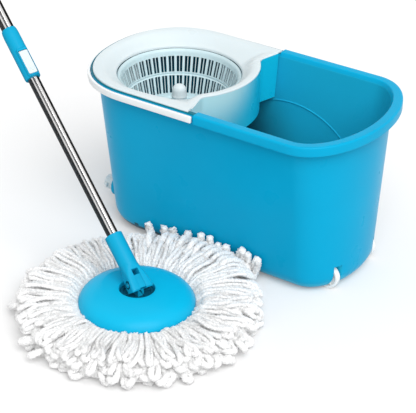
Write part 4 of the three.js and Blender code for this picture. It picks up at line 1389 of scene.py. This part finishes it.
# %% Sleeve
SLEEVE_RADIUS, SLEEVE_LOW, SLEEVE_HIGH = 11.6, 327, 409
LEVER_LOW, LEVER_HIGH, LEVER_WIDTH = 330.3, 367.2, 13
LEVER_AZIMUTH = -8
GRIP_LINES = (334.6, 336.6, 338.6)  # heights of the grooves under the fingertip
lever_place = handle_place @ Matrix.Rotation(math.radians(LEVER_AZIMUTH), 4, "Z")


def upright_plate(name, outline, low, high):
    """An outline of (sideways, up) points as a plate that faces along X, from one distance to another."""
    plate = extruded(name, outline, low, high)
    shifted(plate, turn=(90, "X"))
    return shifted(plate, turn=(90, "Z"))


def lock_sleeve():
    """The sleeve with the lever's housing on it, bored for both tubes and for the collet between them."""
    rounded = filleted([
        (7, SLEEVE_LOW), (11.2, SLEEVE_LOW), (SLEEVE_RADIUS, 330), (SLEEVE_RADIUS, 398), (11.2, 405),
        (10.4, SLEEVE_HIGH), (7, SLEEVE_HIGH),
    ], 1.3, closed=False)[1:-1]
    body = turned("sleeve", [(0, SLEEVE_LOW), *rounded, (0, SLEEVE_HIGH)], 96, closed=False)
    housing = block("housing", (0, 13.3), (-8.2, 8.2), (SLEEVE_LOW + 0.4, 372.2))
    eased(housing, 2.2, segments=5)
    sleeve = combined(body, "UNION", housing)
    edge_y = LEVER_WIDTH / 2 + 0.4
    window = block("window", (9.95, 20), (-edge_y, edge_y), (LEVER_LOW - 0.5, LEVER_HIGH + 0.7))
    bore = turned("bore", [
        (0, SLEEVE_LOW - 1), (8.4, SLEEVE_LOW - 1), (8.4, 335), (9.45, 335), (9.45, SLEEVE_HIGH + 1),
        (0, SLEEVE_HIGH + 1),
    ], 64, closed=False)
    collet_room = turned("room", [(0, 335), (10.0, 335), (10.0, 351), (0, 351)], 64, closed=False)
    groove = block("groove", (12.3, 15), (-9, 9), (328.2, 329.2))
    combined(sleeve, "DIFFERENCE", bore, window, collet_room, groove)
    return eased(sleeve, 0.3, angle=50)


def lock_lever():
    """The lever's plate, with three fine grooves near its free end."""
    half = LEVER_WIDTH / 2
    outline = filleted([(-half, LEVER_LOW), (half, LEVER_LOW), (half, LEVER_HIGH), (-half, LEVER_HIGH)], 2.0)
    plate = eased(upright_plate("lock_tab", outline, 10.3, 13.2), 0.9, segments=3)
    grips = [block("grip", (12.9, 14), (-half + 2.2, half - 2.2), (z, z + 0.7)) for z in GRIP_LINES]
    return combined(plate, "DIFFERENCE", *grips)


finished(lock_sleeve(), "upper", handle_blue, ["lock_sleeve"], place=lever_place)
finished(lock_lever(), "lever", white_plastic, ["lock_lever"], place=lever_place)

# %% [markdown]
# ### Grip and end cap
# The hand grip is a blue sleeve with shallow finger rings, and the cap on top ends in a plate with a hole to
# hang the mop by. Both lie past the view's edge, but a mop without them would be unfinished.

# %% Grip and cap
GRIP_RADIUS, GRIP_BORE, GROOVE_RADIUS = 12.5, 9.5, 11.7
GRIP_LOW, GRIP_HIGH = 868, 991
PLUG_LOW, CAP_HIGH = 975, 1003  # the cap's plug inside the tube, and its domed top
EYE_HALF, EYE_Z = 10, 1018  # half the hanging plate's width, and the middle of its round top


def hand_grip():
    """The grip's sleeve, with a shallow groove every 10 mm."""
    outside = [(GRIP_BORE, GRIP_LOW), (11.0, GRIP_LOW), (GRIP_RADIUS, GRIP_LOW + 4)]
    for ring in np.arange(GRIP_LOW + 12, GRIP_HIGH - 14, 10):
        outside += [(GRIP_RADIUS, ring), (GROOVE_RADIUS, ring + 1.5)]
        outside += [(GROOVE_RADIUS, ring + 3.0), (GRIP_RADIUS, ring + 4.5)]
    outside += [(GRIP_RADIUS, GRIP_HIGH - 6), (GRIP_RADIUS, GRIP_HIGH), (GRIP_BORE, GRIP_HIGH)]
    return turned("hand_grip", filleted(outside, 0.8), 96)


def hanging_cap():
    """The cap with its plug in the tube, and the plate with the hanging hole."""
    rounded = filleted([
        (6, PLUG_LOW), (8.2, PLUG_LOW), (8.2, GRIP_HIGH + 0.3), (GRIP_RADIUS, GRIP_HIGH + 0.3),
        (GRIP_RADIUS, 996), (10, 1001), (4, CAP_HIGH),
    ], 1.0, closed=False)[1:]
    cap_body = turned("hanging_cap", [(0, PLUG_LOW), *rounded, (0, CAP_HIGH)], 96, closed=False)
    arc = [math.pi * i / 24 for i in range(25)]
    outline = [(EYE_HALF * math.cos(a), EYE_Z + EYE_HALF * math.sin(a)) for a in arc]
    outline += [(-EYE_HALF, CAP_HIGH - 4), (EYE_HALF, CAP_HIGH - 4)]
    plate = eased(upright_plate("plate", outline, -3, 3), 1.0, segments=3)
    hole = shifted(rod("hole", 5, -10, 10), z=1017, turn=(90, "Y"))
    return combined(combined(cap_body, "UNION", plate), "DIFFERENCE", hole)


finished(hand_grip(), "upper", handle_blue, ["top_grip"], place=handle_place)
finished(hanging_cap(), "upper", handle_blue, ["end_cap"], place=handle_place)

# %% [markdown]
# ## The pieces kept from the frame
# The small turned parts inside are right as the frame has them, so they only need their finish: steel for
# the shafts, screws and pins, acetal for what runs on them, and rubber for the drain's seal. Two nuts and a
# plate, all three out of sight, have the frame's own plain white.

# %% Finishes for the kept pieces
frame_white = bpy.data.materials["white_plastic"]  # the frame's own, since the one made above is numbered
KEPT = (
    (plated_steel, (
        "axle_front", "axle_rear", "spindle", "spindle_clip", "retainer_screw_1", "retainer_screw_2",
        "retainer_screw_3", "socket_screw", "twisted_rod", "anchor_pin", "lever_pin",
    )),
    (grey_acetal, ("thrust_washer", "hub_bush", "bearing_bush", "bush_cap", "rod_anchor", "clamp_collet")),
    (frame_white, ("drain_nut", "drive_nut", "retainer_plate")),
    (black_rubber, ("drain_gasket",)),
)
for finish, node_names in KEPT:
    for node_name in node_names:
        for slot in bpy.data.objects[node_name].material_slots:
            slot.material = finish
print(sum(len(names) for _, names in KEPT), "kept pieces finished")

# %% [markdown]
# ## Floor, light and flags
# The set stands on a plain white floor under soft light from all round, with one broad lamp from the wheels'
# end to give the walls their fall from light to dark. Polished tube in an all-white room has no shape, so
# dark flags stand along the handle, as in a studio, and are seen only in reflections.

# %% Floor
FLOOR_HALF, FLOOR_Z = 6000, -0.2


def matte(name, shade, roughness):
    """A grey finish without any shine, for the set."""
    finish, tree, shader = node_tree(name)
    shader.inputs["Base Color"].default_value = (shade, shade, shade, 1)
    shader.inputs["Roughness"].default_value = roughness
    shader.inputs["Specular IOR Level"].default_value = 0.0
    return finish, tree, shader


floor_ends = (-FLOOR_HALF, FLOOR_HALF)
floor = lofted("floor", [[(x, y, FLOOR_Z) for x in floor_ends] for y in floor_ends], around=False)
floor_finish, floor_tree, floor_shader = matte("floor_white", 0.70, 0.9)
floor_shader.inputs["Emission Color"].default_value = (1, 0.99, 0.985, 1)
floor.data.materials.append(floor_finish)
print("floor laid")

# %% Light
def when_seen(tree, unseen, seen):
    """One value for rays that light the set, another for those that see it straight, mirrored or through."""
    path = tree.nodes.new("ShaderNodeLightPath")
    total = path.outputs["Is Camera Ray"]
    for output in ("Is Glossy Ray", "Is Transmission Ray"):
        add = tree.nodes.new("ShaderNodeMath")
        add.use_clamp = True
        tree.links.new(total, add.inputs[0])
        tree.links.new(path.outputs[output], add.inputs[1])
        total = add.outputs[0]
    level = tree.nodes.new("ShaderNodeMapRange")
    level.inputs["To Min"].default_value = unseen
    level.inputs["To Max"].default_value = seen
    tree.links.new(total, level.inputs["Value"])
    return level.outputs["Result"]


floor_tree.links.new(when_seen(floor_tree, 0.0, 0.17), floor_shader.inputs["Emission Strength"])
world = bpy.data.worlds.new("studio")
world.use_nodes = True
bpy.context.scene.world = world
sky = world.node_tree
sky.links.new(when_seen(sky, 0.72, 1.0), sky.nodes["Background"].inputs["Strength"])
sky.nodes["Background"].inputs["Color"].default_value = (1, 1, 1, 1)


def sun(name, strength, azimuth, elevation, softness):
    """A lamp far away in that direction, softened over that angle in degrees."""
    lamp = bpy.data.lights.new(name, "SUN")
    lamp.energy = strength
    lamp.angle = math.radians(softness)
    obj = bpy.data.objects.new(name, lamp)
    bpy.context.collection.objects.link(obj)
    azimuth, elevation = math.radians(azimuth), math.radians(elevation)
    level = math.cos(elevation)
    source = Vector((math.cos(azimuth) * level, math.sin(azimuth) * level, math.sin(elevation)))
    obj.rotation_mode = "QUATERNION"
    obj.rotation_quaternion = source.to_track_quat("Z", "Y")


sun("key", 2.4, -38, 48, 50)
print("lit")

# %% Flags along the handle
def flag(name, first, last, shade, radius=45, low=20, high=1100):
    """A dark sheet round the handle between two angles about it, seen only in reflections and from inside."""
    angles = np.radians(np.linspace(first, last, max(3, int((last - first) / 8))))
    rows = [[(radius * math.cos(a), radius * math.sin(a), z) for a in angles] for z in (low, high)]
    sheet = lofted(name, rows, around=False)
    finish, tree, shader = matte(name, shade, 1.0)
    clear = tree.nodes.new("ShaderNodeBsdfTransparent")
    facing = tree.nodes.new("ShaderNodeNewGeometry")
    choice = tree.nodes.new("ShaderNodeMixShader")
    sides = (shader.outputs[0], clear.outputs[0])
    inner = sheet.data.polygons[0].normal.dot(sheet.data.polygons[0].center * Vector((1, 1, 0))) < 0
    tree.links.new(facing.outputs["Backfacing"], choice.inputs[0])
    tree.links.new(sides[0 if inner else 1], choice.inputs[1])
    tree.links.new(sides[1 if inner else 0], choice.inputs[2])
    tree.links.new(choice.outputs[0], tree.nodes["Material Output"].inputs["Surface"])
    sheet.data.materials.append(finish)
    sheet.matrix_world = handle_place
    for kind in ("camera", "diffuse", "shadow", "transmission", "volume_scatter"):
        setattr(sheet, f"visible_{kind}", False)


flag("flag_left", -212.5, -62, shade=0.08)
flag("flag_right", 42, 147.5, shade=0.03)
flag("flag_middle", -38, -2, shade=0.1)
print("flags set up")

# %% [markdown]
# ## Size
# The finished model should fill the frame's box, and only soft pile may stand a little out of it.

# %% End
print("scene built")
